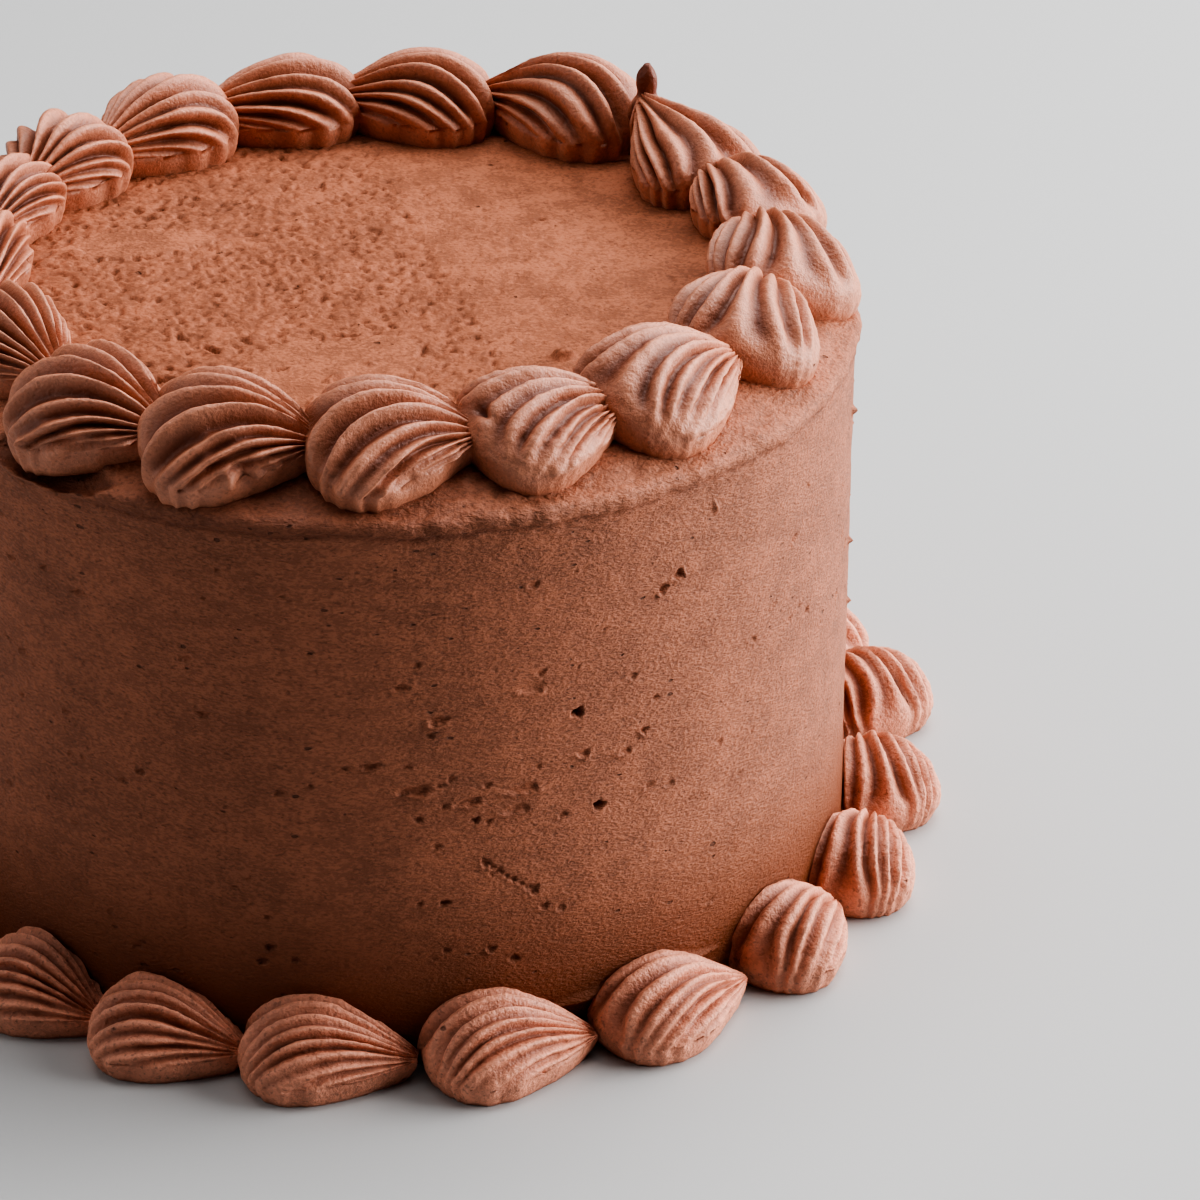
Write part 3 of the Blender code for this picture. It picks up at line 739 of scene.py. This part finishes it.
def iced_side():
    """The side of the cake from the face it stands on up over the rim to the seam under the shells."""
    pits = all_side_pits()
    places, outline = side_outline(OUTLINE_PLACES)
    form = side_grid(pits, places, outline)
    depth = form.verts.layers.float.new("deep")
    foot_edge = edge_of_grid(form, 0.0)
    seam_edge = edge_of_grid(form, float(places[-1]))
    flat = np.array([vertex.co[:2] for vertex in form.verts])
    azimuths = flat[:, 0] % FULL_TURN + QUARTER_TURN
    radii, heights, outward, upward = (np.interp(flat[:, 1], places, values) for values in outline.T)
    pushes = np.zeros(len(flat))
    for pit in pits:
        close = near_pits([pit], azimuths, heights, 2.0 * MM)
        pushes[close] += pit_push(pit, azimuths[close], heights[close])
    settled = smooth_step(0.0, 1.5 * MM, heights)
    for vertex, azimuth, radius, height, out, up, push, share in zip(
            form.verts, azimuths, radii, heights, outward, upward, pushes, settled):
        place = Vector((radius * math.cos(azimuth), radius * math.sin(azimuth), height))
        way = Vector((math.cos(azimuth) * out, math.sin(azimuth) * out, up))
        relief = side_relief(azimuth, height, place) + push
        spread = place + way * float(relief * share)
        vertex.co = scoop_push(spread)
        scooped = min((vertex.co - spread).length / MM, 1.0)
        # Painted shade in the pits, in the crease and the shells' shadow under the rim, and in the scoop.
        sunk = max(-1.2 * push / MM - 0.4, 0.0) + rim_shade(azimuth, height) + 0.7 * scooped
        vertex[depth] = float(min(sunk, 1.0))
    close_ring(form, foot_edge, 0.0)
    close_ring(form, seam_edge, -HIDDEN_DEPTH)
    return to_mesh(form, "iced_side")


def edge_of_grid(form, travel):
    """The vertices of a flat grid that lie along this edge, in order."""
    found = [vertex for vertex in form.verts if abs(vertex.co.y - travel) < 1e-6]
    return sorted(found, key=lambda vertex: vertex.co.x)


def close_ring(form, ring, lift):
    """Close a ring of vertices with a fan to the axis, this far above or below the ring."""
    height = sum(vertex.co.z for vertex in ring) / len(ring)
    hub = form.verts.new((0.0, 0.0, height + lift))
    for left, right in zip(ring, ring[1:]):
        form.faces.new((left, right, hub))


def edge_distance(x, y, corners):
    """Distance from places to a plate's edge, above 0 inside it."""
    inside = np.zeros(x.shape, dtype=bool)
    nearest = np.full(x.shape, 1e9)
    for (ax, ay), (bx, by) in zip(corners, corners[1:] + corners[:1]):
        dx, dy = bx - ax, by - ay
        part = np.clip(((x - ax) * dx + (y - ay) * dy) / (dx * dx + dy * dy), 0.0, 1.0)
        nearest = np.minimum(nearest, np.hypot(x - ax - part * dx, y - ay - part * dy))
        crosses = (ay > y) != (by > y)
        inside ^= crosses & (x < ax + (y - ay) * dx / (dy if dy else 1e-9))
    return np.where(inside, nearest, -nearest)


def tear_push(tear, x, y, wobble):
    """How far a tear draws the top down at these places in millimetres, or a flake lifts it."""
    way = tear.way * DEGREE
    along = ((x - tear.x) * math.cos(way) + (y - tear.y) * math.sin(way)) / (0.5 * tear.long)
    across = ((y - tear.y) * math.cos(way) - (x - tear.x) * math.sin(way)) / (0.5 * tear.wide)
    away = np.hypot(along, across) * (1.0 + 0.5 * wobble)
    hollow = 1.0 - smooth_step(0.3, 1.15, away)
    lip = 0.25 * np.exp(-((away - 1.3) / 0.25) ** 2)
    return -tear.depth * hollow + abs(tear.depth) * lip * (tear.depth > 0.0)


def top_relief(places):
    """How far the top's icing stands above its plain form at these places, and how much painted shade it gets
    in its torn patches, holes and tears.
    """
    swell, lumps, rough, fine, wobble = (
        np.array([ripple(Vector(place), size * MM, seed) for place in places]) for size, seed in TOP_WAVES)
    x = places[:, 0] / MM
    y = places[:, 1] / MM
    ragged = 1.1 * wobble + 0.8 * fine
    plates = np.zeros(len(places))
    for corners in PLATES:
        plates = np.maximum(plates, smooth_step(-0.25, 0.3, edge_distance(x, y, corners) + ragged))
    across = (SMEAR_TO[0] - SMEAR_FROM[0], SMEAR_TO[1] - SMEAR_FROM[1])
    reach = math.hypot(*across)
    beyond = ((x - SMEAR_FROM[0]) * -across[1] + (y - SMEAR_FROM[1]) * across[0]) / reach
    smeared = smooth_step(-1.0, 1.2, beyond + 2.0 * lumps + ragged)
    pimply = np.exp(-((x - PIMPLY_AT[0]) ** 2 + (y - PIMPLY_AT[1]) ** 2) / PIMPLY_REACH ** 2)
    torn = (1.0 - plates) * (1.0 - 0.7 * smeared)
    relief = TOP_SWELL * swell + TOP_LUMPS * lumps * (1.0 - 0.7 * plates)
    relief += PLATE_RISE * plates + TOP_SMEAR * smeared
    relief += torn * MM * (0.16 * rough + 0.18 * fine)
    holes = np.clip(-rough - 0.33, 0.0, None) + 0.8 * np.clip(-fine - 0.32, 0.0, None)
    relief -= torn * HOLE_DEPTH * holes
    relief += pimply * (1.0 - plates) * PIMPLE_RISE * np.clip(fine - 0.05, 0.0, None)
    # Painted shade over the torn rough patches, more in their holes and in the hollows of the tears.
    deep = 0.28 * torn + 0.10 * (1.0 - plates) + 1.8 * torn * holes
    for tear in TEARS:
        push = tear_push(tear, x, y, wobble + fine)
        relief += MM * push
        deep += np.clip(-0.8 * push, 0.0, 1.0)
    return relief, np.clip(deep, 0.0, 1.0)


def iced_top():
    """The top of the cake out to the seam under the shells, as a square grid trimmed to a circle."""
    steps = np.linspace(-1.0, 1.0, TOP_CELLS + 1)
    across, up = np.meshgrid(steps, steps)
    x = SEAM_RADIUS * across * np.sqrt(1.0 - 0.5 * up * up)
    y = SEAM_RADIUS * up * np.sqrt(1.0 - 0.5 * across * across)
    radii = np.hypot(x, y)
    places = np.stack([x, y, shoulder_height(radii)], axis=2).reshape(-1, 3)
    relief, deep = top_relief(places)
    places[:, 2] += relief * (1.0 - smooth_step(0.93, 0.99, radii.ravel() / SEAM_RADIUS))
    form = bmesh.new()
    grid = lines_with_shade(form, places, deep, TOP_CELLS + 1)
    skin(form, grid)
    ring = grid[0] + [line[-1] for line in grid[1:]] + grid[-1][-2::-1] + [line[0] for line in grid[-2::-1]]
    close_ring(form, ring, -HIDDEN_DEPTH)
    return to_mesh(form, "iced_top")


# Piped shells


def half_width(along, width):
    """Half the width of a shell at this part of its length, 0 at the tail's tip and 1 at the head."""
    widest = 1.0 / (1.0 + ROUND_POWER)
    largest = widest * (1.0 - widest) ** ROUND_POWER
    return 0.5 * width * along * np.maximum(1.0 - along, 0.0) ** ROUND_POWER / largest


def ridge_line(along, height, tail):
    """Height of a shell's middle line: it climbs from the tail, crowns, and rounds over the head."""
    climb = np.sin(QUARTER_TURN * np.minimum(along / CROWN_AT, 1.0)) ** 1.2
    past = np.clip((along - CROWN_AT) / (1.0 - CROWN_AT), 0.0, 1.0)
    rounding = BULGE_HEIGHT + (height - BULGE_HEIGHT) * np.sqrt(1.0 - past * past)
    return np.where(along < CROWN_AT, tail + (height - tail) * climb, rounding)


def shell_length(border, index):
    """Length of a shell: the way round the ring to the next one's middle, and its overlap."""
    shell = border[index]
    following = border[(index + 1) % len(border)]
    step = (following.azimuth - shell.azimuth) % 360
    return (math.radians(step) * shell.radius + shell.overlap) * MM


def rib_columns(style):
    """Angles off the crown at which the columns of a shell start, closer together near the edges."""
    even = np.linspace(-1.0, 1.0, style.columns + 1)
    return np.sign(even) * (1.0 - (1.0 - np.abs(even)) ** style.crowding) * QUARTER_TURN


def plain_shell(length, shell, style):
    """Grid of points of a smooth shell: columns run from the tail over the head and under the edge."""
    offset = rib_columns(style)[:, None]
    spread = QUARTER_TURN / np.maximum(np.abs(offset), 1e-6) - 1.0
    end = np.maximum(spread / (spread + style.fan), TAIL_START)
    row = np.linspace(0.0, 1.0, style.rows + 1)[None, :]
    along = TAIL_START + (end - TAIL_START) * np.sin(QUARTER_TURN * row)
    widening = style.fan * along / np.maximum(1.0 - along, 1e-9)
    angle = np.clip(offset * (1.0 + widening), -QUARTER_TURN, QUARTER_TURN)
    rise = ridge_line(along, shell.height * MM, shell.tail * MM) - BULGE_HEIGHT
    x = length * (0.5 - along)
    y = half_width(along, shell.width * MM) * np.sin(angle)
    z = BULGE_HEIGHT + rise * np.cos(angle)
    form = np.stack([x, y, z], axis=2)
    centre = np.array([length * (0.5 - TUCK_CENTRE), 0.0, 0.0])
    under = []
    for step in range(1, style.tuck_rows + 1):
        part = step / style.tuck_rows
        shrink = TUCK + (1.0 - TUCK) * math.cos(QUARTER_TURN * part)
        edge = form[:, -1, :].copy()
        tucked = centre + (edge - centre) * shrink
        tucked[:, 2] = edge[:, 2] * (1.0 - part) - style.sunk * part
        under.append(tucked)
    return np.concatenate([form, np.stack(under, axis=1)], axis=1)


def grid_normals(form):
    """Unit normals of a grid of points, outward for a shell."""
    over = np.gradient(form, axis=0)
    down = np.gradient(form, axis=1)
    normals = np.cross(over, down)
    lengths = np.linalg.norm(normals, axis=2, keepdims=True)
    return normals / np.maximum(lengths, 1e-12)


def ridge_push(form, length, style, finish, draw):
    """How far each point of a shell moves out on a crest or in on a groove, and how much painted shade it
    gets in the grooves.
    """
    offset = rib_columns(style)[:, None]
    along = 0.5 - form[:, :, 0] / length
    spacing = 2.0 * RIDGE_HALF_SPREAD / (finish.ridges - 1)
    wander = draw.uniform(0.0, FULL_TURN)
    uneven = 0.16 * np.sin(3.0 * offset + wander) + 0.10 * np.sin(7.0 * offset - 2.0 * wander)
    drift = 0.10 * np.sin(5.0 * along + wander) + 0.05 * np.sin(11.0 * along + 4.0 * offset - wander)
    turns = (offset + RIDGE_HALF_SPREAD) / spacing + uneven + drift
    crest = (0.5 + 0.5 * np.cos(FULL_TURN * turns)) ** finish.crispness
    level = style.carved ** finish.crispness
    strength = 0.85 + 0.3 * np.sin(2.1 * turns + wander)
    fade = np.clip(0.30 + 1.8 * along, 0.0, 1.0)
    rim = smooth_step(0.0, 0.16, 1.0 - np.abs(offset) / QUARTER_TURN)
    outer = smooth_step(-0.42, -0.72, offset / QUARTER_TURN) * smooth_step(0.2, 0.5, along)
    raised = (form[:, :, 2] - BULGE_HEIGHT) / (form[:, :, 2].max() - BULGE_HEIGHT)
    front = smooth_step(0.70, 0.25, raised) * smooth_step(0.30, -0.10, offset / QUARTER_TURN)
    front = front * smooth_step(0.45, 0.7, along)
    footing = 0.35 + 0.65 * smooth_step(0.0, 0.45, raised)
    fade = fade * rim * footing * (1.0 - np.maximum(finish.smoothed * outer, finish.front * front))
    rows = np.arange(form.shape[1])[None, :]
    under = np.clip((rows - style.rows) / style.tuck_rows, 0.0, 1.0)
    fade = fade * (1.0 - 0.7 * under)
    # The second value is painted shade, darkest in the grooves between the ridges.
    return finish.depth * MM * (crest - level) * strength * fade, (1.0 - crest) ** 1.4 * fade


def fold_push(form, length, style, folds):
    """How far a shell's own folds and hollows move its points."""
    offset = rib_columns(style)
    along = 0.5 - form[:, :, 0] / length
    push = np.zeros(form.shape[:2])
    for fold in folds:
        corners = []
        for degrees, part in fold.path:
            column = int(np.argmin(np.abs(offset - degrees * DEGREE)))
            row = int(np.argmin(np.abs(along[column, :style.rows] - part)))
            corners.append(form[column, row])
        nearest = np.full(form.shape[:2], 1e9)
        for start, end in zip(corners, corners[1:]):
            run = end - start
            part = np.clip(((form - start) @ run) / max(run @ run, 1e-12), 0.0, 1.0)
            nearest = np.minimum(nearest, np.linalg.norm(form - start - part[:, :, None] * run, axis=2))
        push += fold.lift * MM * np.exp(-(nearest / (fold.width * MM)) ** 2)
    return push


def drape(form, shell, style):
    """Turn a shell's points into their place on the ring, on the cake's top or on the face below."""
    azimuth = math.radians(shell.azimuth)
    turn = math.radians(shell.turn)
    along = np.array([-math.sin(azimuth), math.cos(azimuth), 0.0])
    inward = np.array([-math.cos(azimuth), -math.sin(azimuth), 0.0])
    tailward = along * math.cos(turn) + inward * math.sin(turn)
    sideways = inward * math.cos(turn) - along * math.sin(turn)
    placed = -inward * shell.radius * MM + form[:, :, :1] * tailward + form[:, :, 1:2] * sideways
    ground = shoulder_height(np.hypot(placed[:, :, 0], placed[:, :, 1])) if style.on_top else 0.0
    placed[:, :, 2] = ground + form[:, :, 2]
    return placed


def shell_mesh(name, length, shell, style, finish, folds, seed):
    """A closed shell with crisp ridges, its own folds, small lumps and froth."""
    draw = random.Random(seed)
    form = plain_shell(length, shell, style)
    push, deep = ridge_push(form, length, style, finish, draw)
    push = push + fold_push(form, length, style, folds)
    form = form + grid_normals(form) * push[:, :, None]
    placed = drape(form, shell, style)
    ways = grid_normals(placed).reshape(-1, 3)
    points = placed.reshape(-1, 3)
    froth = (LEAST_FROTH + MORE_FROTH * finish.froth) * MM
    lifts = [
        SHELL_LUMPS * ripple(place, 6.0 * MM, seed * 1.7) + froth * ripple(place, 1.2 * MM, seed * 2.3)
        for place in map(Vector, points)]
    points = points + ways * np.array(lifts)[:, None]
    if not style.on_top:
        points[:, 2] = np.maximum(points[:, 2], 0.0)
    body = bmesh.new()
    grid = lines_with_shade(body, points, deep.ravel(), placed.shape[1])
    skin(body, grid)
    body.faces.new([column[-1] for column in reversed(grid)])
    body.faces.new([column[0] for column in grid[1:-1]] + grid[-1] + grid[0][::-1])
    return to_mesh(body, name)


def peak_mesh(name):
    """The knob on its neck, which the ridges of the last shell climb up to."""
    profile = np.array(PEAK_PROFILE)
    heights = np.linspace(profile[0, 1], profile[-1, 1], PEAK_RINGS)
    radii = np.interp(heights, profile[:, 1], profile[:, 0])
    radii = np.convolve(np.pad(radii, 1, mode="edge"), np.ones(3) / 3.0, mode="valid")
    foot = heading(PEAK_AZIMUTH) * PEAK_RADIUS + Vector((0.0, 0.0, TOP_HEIGHT))
    points = []
    deep = []
    for radius, height in zip(radii, heights):
        ridged = 1.0 - smooth_step(9.0, 11.0, height)
        for side in range(PEAK_SIDES):
            angle = FULL_TURN * side / PEAK_SIDES
            wave = math.sin(PEAK_RIDGES * angle)
            uneven = 0.08 * math.sin(3.0 * angle + 0.3 * height)
            reach = radius * (1.0 + PEAK_RIDGE_DEPTH * ridged * wave + uneven)
            points.append(foot + MM * Vector((reach * math.cos(angle), reach * math.sin(angle), height)))
            # Painted shade in the knob's grooves, and the knob darker all over from about 10 mm up.
            deep.append(max((0.5 - 0.5 * wave) * ridged, smooth_step(10.0, 11.2, height)))
    form = bmesh.new()
    rings = lines_with_shade(form, points, deep, PEAK_SIDES)
    skin(form, [ring + ring[:1] for ring in rings])
    form.faces.new(rings[0][::-1])
    form.faces.new(rings[-1])
    return to_mesh(form, name)


def pipe_border(label, border, style, finishes, folds, material):
    """Make every shell of a border, each in place of its own node."""
    for index, (shell, finish) in enumerate(zip(border, finishes)):
        number = index + 1
        name = "%s_swirl_%02d" % (label, number)
        length = shell_length(border, index)
        mesh = shell_mesh(name, length, shell, style, finish, folds.get(number, ()), number)
        finish_piece(name, mesh, material, ["%s_shell_%02d" % (label, number)])


# Stage


# Where the camera stands, how far it turns to the right and looks down, and how far it is tipped
CAMERA_PLACE = (-0.0006, -0.6626, 0.399)
CAMERA_YAW = 3.09 * DEGREE
CAMERA_PITCH = 28.57 * DEGREE
CAMERA_ROLL = 0.84 * DEGREE


def add_camera(settings):
    """The camera where the cake is seen from, with no shift and no blur."""
    camera = bpy.data.cameras.new("camera")
    camera.lens = settings.lens
    camera.sensor_width = 36.0
    camera.clip_start = 0.01
    camera.clip_end = 50.0
    holder = add_object("camera", camera)
    ahead = heading(QUARTER_TURN - CAMERA_YAW) * math.cos(CAMERA_PITCH)
    ahead.z = -math.sin(CAMERA_PITCH)
    level = heading(-CAMERA_YAW)
    above = level.cross(ahead)
    right = level * math.cos(CAMERA_ROLL) + above * math.sin(CAMERA_ROLL)
    up = above * math.cos(CAMERA_ROLL) - level * math.sin(CAMERA_ROLL)
    axes = Matrix((right, up, -ahead)).transposed().to_4x4()
    holder.matrix_world = Matrix.Translation(CAMERA_PLACE) @ axes
    bpy.context.scene.camera = holder


# Soft square lights round the cake, all at one distance: azimuth and elevation in degrees, side and power
Light = namedtuple("Light", "name azimuth elevation side power")
LIGHT_DISTANCE = 1.1
LIGHT_TARGET_HEIGHT = 0.05
STUDIO_LIGHTS = (
    Light("window_right", 0.0, 20.0, 0.9, 20.0),
    Light("window_middle", 30.0, 22.0, 1.0, 4.0),
    Light("window_behind", 50.0, 48.0, 1.0, 9.6),
    Light("ceiling", 90.0, 80.0, 0.8, 6.0),
    Light("fill_left", 190.0, 25.0, 0.9, 3.3),
)


def add_area_light(light, strength):
    """A soft square light that looks at the cake's middle from its side."""
    lamp = bpy.data.lights.new(light.name, "AREA")
    lamp.size = light.side
    lamp.energy = light.power * strength
    holder = add_object(light.name, lamp)
    way = heading(light.azimuth * DEGREE) * math.cos(light.elevation * DEGREE)
    way.z = math.sin(light.elevation * DEGREE)
    target = Vector((0.0, 0.0, LIGHT_TARGET_HEIGHT))
    holder.location = target + way * LIGHT_DISTANCE
    holder.rotation_euler = (target - holder.location).to_track_quat("-Z", "Y").to_euler()


# Far from the cake, out of the lights' reach, the floor glows a little, so it stays pale from any side
FLOOR_FADE = (0.7, 2.2)
# The darkest that its own unevenness makes it
FLOOR_DARKEST = 0.98
SURROUND_COLOUR = (0.93, 0.95, 1.0, 1.0)


def floor_material(settings):
    """A pale, matte studio sheet with the slightest unevenness."""
    material, tree, surface, place = new_material("studio floor")
    cloud = noise_texture(tree, place, scale=2.0, detail=2.0)
    colour = shade(settings.floor_colour, 1.0)
    tint = mixed(tree, cloud.outputs["Fac"], shade(settings.floor_colour, FLOOR_DARKEST), colour)
    tree.links.new(tint, surface.inputs["Base Color"])
    distance = add_node(tree, "ShaderNodeVectorMath", operation="LENGTH", vector=place)
    far = fade_range(tree, distance.outputs["Value"], *FLOOR_FADE)
    glow = mixed(tree, far, shade(settings.floor_colour, 0.0), colour)
    tree.links.new(glow, surface.inputs["Emission Color"])
    surface.inputs["Emission Strength"].default_value = 1.0
    surface.inputs["Roughness"].default_value = 0.7
    surface.inputs["Specular IOR Level"].default_value = 0.2
    return material


def add_floor(settings):
    """A wide round floor under the cake."""
    form = bmesh.new()
    bmesh.ops.create_circle(form, cap_ends=True, radius=settings.floor_radius, segments=96)
    mesh = bpy.data.meshes.new("floor")
    form.to_mesh(mesh)
    form.free()
    mesh.materials.append(floor_material(settings))
    floor = add_object("floor", mesh)


def set_world(settings):
    """An even pale surround that fills the shadows softly."""
    world = bpy.data.worlds.new("surround")
    world.use_nodes = True
    background = world.node_tree.nodes["Background"]
    background.inputs["Color"].default_value = SURROUND_COLOUR
    background.inputs["Strength"].default_value = settings.surround
    bpy.context.scene.world = world


# Settings, operators and panel


class IcingSettings(bpy.types.PropertyGroup):
    colour: bpy.props.FloatVectorProperty(
        name="Icing colour", description="Colour of the icing on the side and top",
        subtype="COLOR", size=3, min=0.0, max=1.0, default=(0.348, 0.133, 0.077))
    mottle: bpy.props.FloatProperty(
        name="Mottle", description="How much lighter and darker the patches of icing are",
        subtype="FACTOR", min=0.0, max=0.5, default=0.26)
    roughness: bpy.props.FloatProperty(
        name="Roughness", description="How matte the icing is",
        subtype="FACTOR", min=0.0, max=1.0, default=0.58)


class PipingSettings(bpy.types.PropertyGroup):
    # Painted light: set lighter than the icing of the same cream, so that the crests read brightly lit beside
    # the painted shade in the grooves.
    colour: bpy.props.FloatVectorProperty(
        name="Piping colour", description="Colour of the piped shells",
        subtype="COLOR", size=3, min=0.0, max=1.0, default=(0.550, 0.232, 0.145))
    mottle: bpy.props.FloatProperty(
        name="Mottle", description="How much lighter and darker the patches of cream are",
        subtype="FACTOR", min=0.0, max=0.5, default=0.13)
    roughness: bpy.props.FloatProperty(
        name="Roughness", description="How matte the piped cream is",
        subtype="FACTOR", min=0.0, max=1.0, default=0.42)


class FootPipingSettings(bpy.types.PropertyGroup):
    # Painted light: set lighter than the top piping of the same cream, for the light that the shells at the
    # foot catch.
    colour: bpy.props.FloatVectorProperty(
        name="Foot colour", description="Colour of the shells at the foot, frothier and paler",
        subtype="COLOR", size=3, min=0.0, max=1.0, default=(0.700, 0.300, 0.195))
    mottle: bpy.props.FloatProperty(
        name="Foot mottle", description="How much lighter and darker the patches of the foot's cream are",
        subtype="FACTOR", min=0.0, max=0.5, default=0.16)
    roughness: bpy.props.FloatProperty(
        name="Foot roughness", description="How matte the shells at the foot are",
        subtype="FACTOR", min=0.0, max=1.0, default=0.50)


class StageSettings(bpy.types.PropertyGroup):
    lens: bpy.props.FloatProperty(
        name="Lens", description="Focal length of the camera on a 36 mm sensor, in millimetres",
        min=10.0, max=400.0, default=142.74)
    floor_colour: bpy.props.FloatVectorProperty(
        name="Floor colour", description="Colour of the floor",
        subtype="COLOR", size=3, min=0.0, max=1.0, default=(0.455, 0.455, 0.455))
    floor_radius: bpy.props.FloatProperty(
        name="Floor radius", description="How far the floor reaches",
        unit="LENGTH", min=0.5, max=20.0, default=6.0)
    light: bpy.props.FloatProperty(
        name="Light", description="Brightness of all the soft lights together",
        min=0.0, max=10.0, default=1.0)
    surround: bpy.props.FloatProperty(
        name="Surround", description="Strength of the even light from all round",
        min=0.0, max=5.0, default=0.03)


class CAKE_OT_iced_side(bpy.types.Operator):
    """Spread the icing on the side of the cake, with its pits and its scooped rim"""
    bl_idname = "cake.iced_side"
    bl_label = "Ice the side"

    def execute(self, context):
        material = ready_material("side icing", context.scene.cake_icing, SIDE_ICING)
        finish_piece("iced_side", iced_side(), material, ["cake_body"])
        return {"FINISHED"}


class CAKE_OT_iced_top(bpy.types.Operator):
    """Spread the icing on the top of the cake, with its smears and flakes"""
    bl_idname = "cake.iced_top"
    bl_label = "Ice the top"

    def execute(self, context):
        material = ready_material("top icing", context.scene.cake_icing, TOP_ICING)
        finish_piece("iced_top", iced_top(), material, ["cake_body"])
        return {"FINISHED"}


class CAKE_OT_top_border(bpy.types.Operator):
    """Pipe the border of shells round the top"""
    bl_idname = "cake.top_border"
    bl_label = "Pipe the top border"

    def execute(self, context):
        material = ready_material("top piping", context.scene.cake_piping, TOP_PIPING)
        pipe_border("top", TOP_BORDER, TOP_STYLE, TOP_FINISHES, FOLDS, material)
        last = "top_shell_%02d" % len(TOP_BORDER)
        finish_piece("drawn_up_tip", peak_mesh("drawn_up_tip"), material, [last])
        return {"FINISHED"}


class CAKE_OT_foot_border(bpy.types.Operator):
    """Pipe the border of shells round the foot"""
    bl_idname = "cake.foot_border"
    bl_label = "Pipe the foot border"

    def execute(self, context):
        material = ready_material("foot piping", context.scene.cake_foot_piping, FOOT_PIPING)
        pipe_border("foot", FOOT_BORDER, FOOT_STYLE, [FOOT] * len(FOOT_BORDER), {}, material)
        return {"FINISHED"}


class CAKE_OT_stage(bpy.types.Operator):
    """Set up the floor, the soft lights and the camera"""
    bl_idname = "cake.stage"
    bl_label = "Set the stage"

    def execute(self, context):
        settings = context.scene.cake_stage
        add_floor(settings)
        set_world(settings)
        for light in STUDIO_LIGHTS:
            add_area_light(light, settings.light)
        add_camera(settings)
        context.scene.view_settings.view_transform = "AgX"
        context.scene.view_settings.look = "AgX - High Contrast"
        return {"FINISHED"}


class CAKE_PT_panel(bpy.types.Panel):
    """Lists the cake's pieces and their settings in the sidebar"""
    bl_idname = "CAKE_PT_panel"
    bl_label = "Cake"
    bl_space_type = "VIEW_3D"
    bl_region_type = "UI"
    bl_category = "Cake"

    def draw(self, context):
        layout = self.layout
        scene = context.scene
        for settings in (scene.cake_icing, scene.cake_piping, scene.cake_foot_piping, scene.cake_stage):
            box = layout.box()
            for name in settings.__annotations__:
                box.prop(settings, name)
        for operator in PIECE_OPERATORS:
            layout.operator(operator.bl_idname)


PIECE_OPERATORS = (
    CAKE_OT_iced_side,
    CAKE_OT_iced_top,
    CAKE_OT_top_border,
    CAKE_OT_foot_border,
    CAKE_OT_stage,
)
SETTINGS = (IcingSettings, PipingSettings, FootPipingSettings, StageSettings)
CLASSES = SETTINGS + PIECE_OPERATORS + (CAKE_PT_panel,)


def register():
    for item in CLASSES:
        bpy.utils.register_class(item)
    bpy.types.Scene.cake_icing = bpy.props.PointerProperty(type=IcingSettings)
    bpy.types.Scene.cake_piping = bpy.props.PointerProperty(type=PipingSettings)
    bpy.types.Scene.cake_foot_piping = bpy.props.PointerProperty(type=FootPipingSettings)
    bpy.types.Scene.cake_stage = bpy.props.PointerProperty(type=StageSettings)


def unregister():
    del bpy.types.Scene.cake_icing
    del bpy.types.Scene.cake_piping
    del bpy.types.Scene.cake_foot_piping
    del bpy.types.Scene.cake_stage
    for item in reversed(CLASSES):
        bpy.utils.unregister_class(item)


def main():
    register()
    bpy.ops.cake.iced_side()
    bpy.ops.cake.iced_top()
    bpy.ops.cake.top_border()
    bpy.ops.cake.foot_border()
    bpy.ops.cake.stage()


if __name__ == "__main__":
    main()
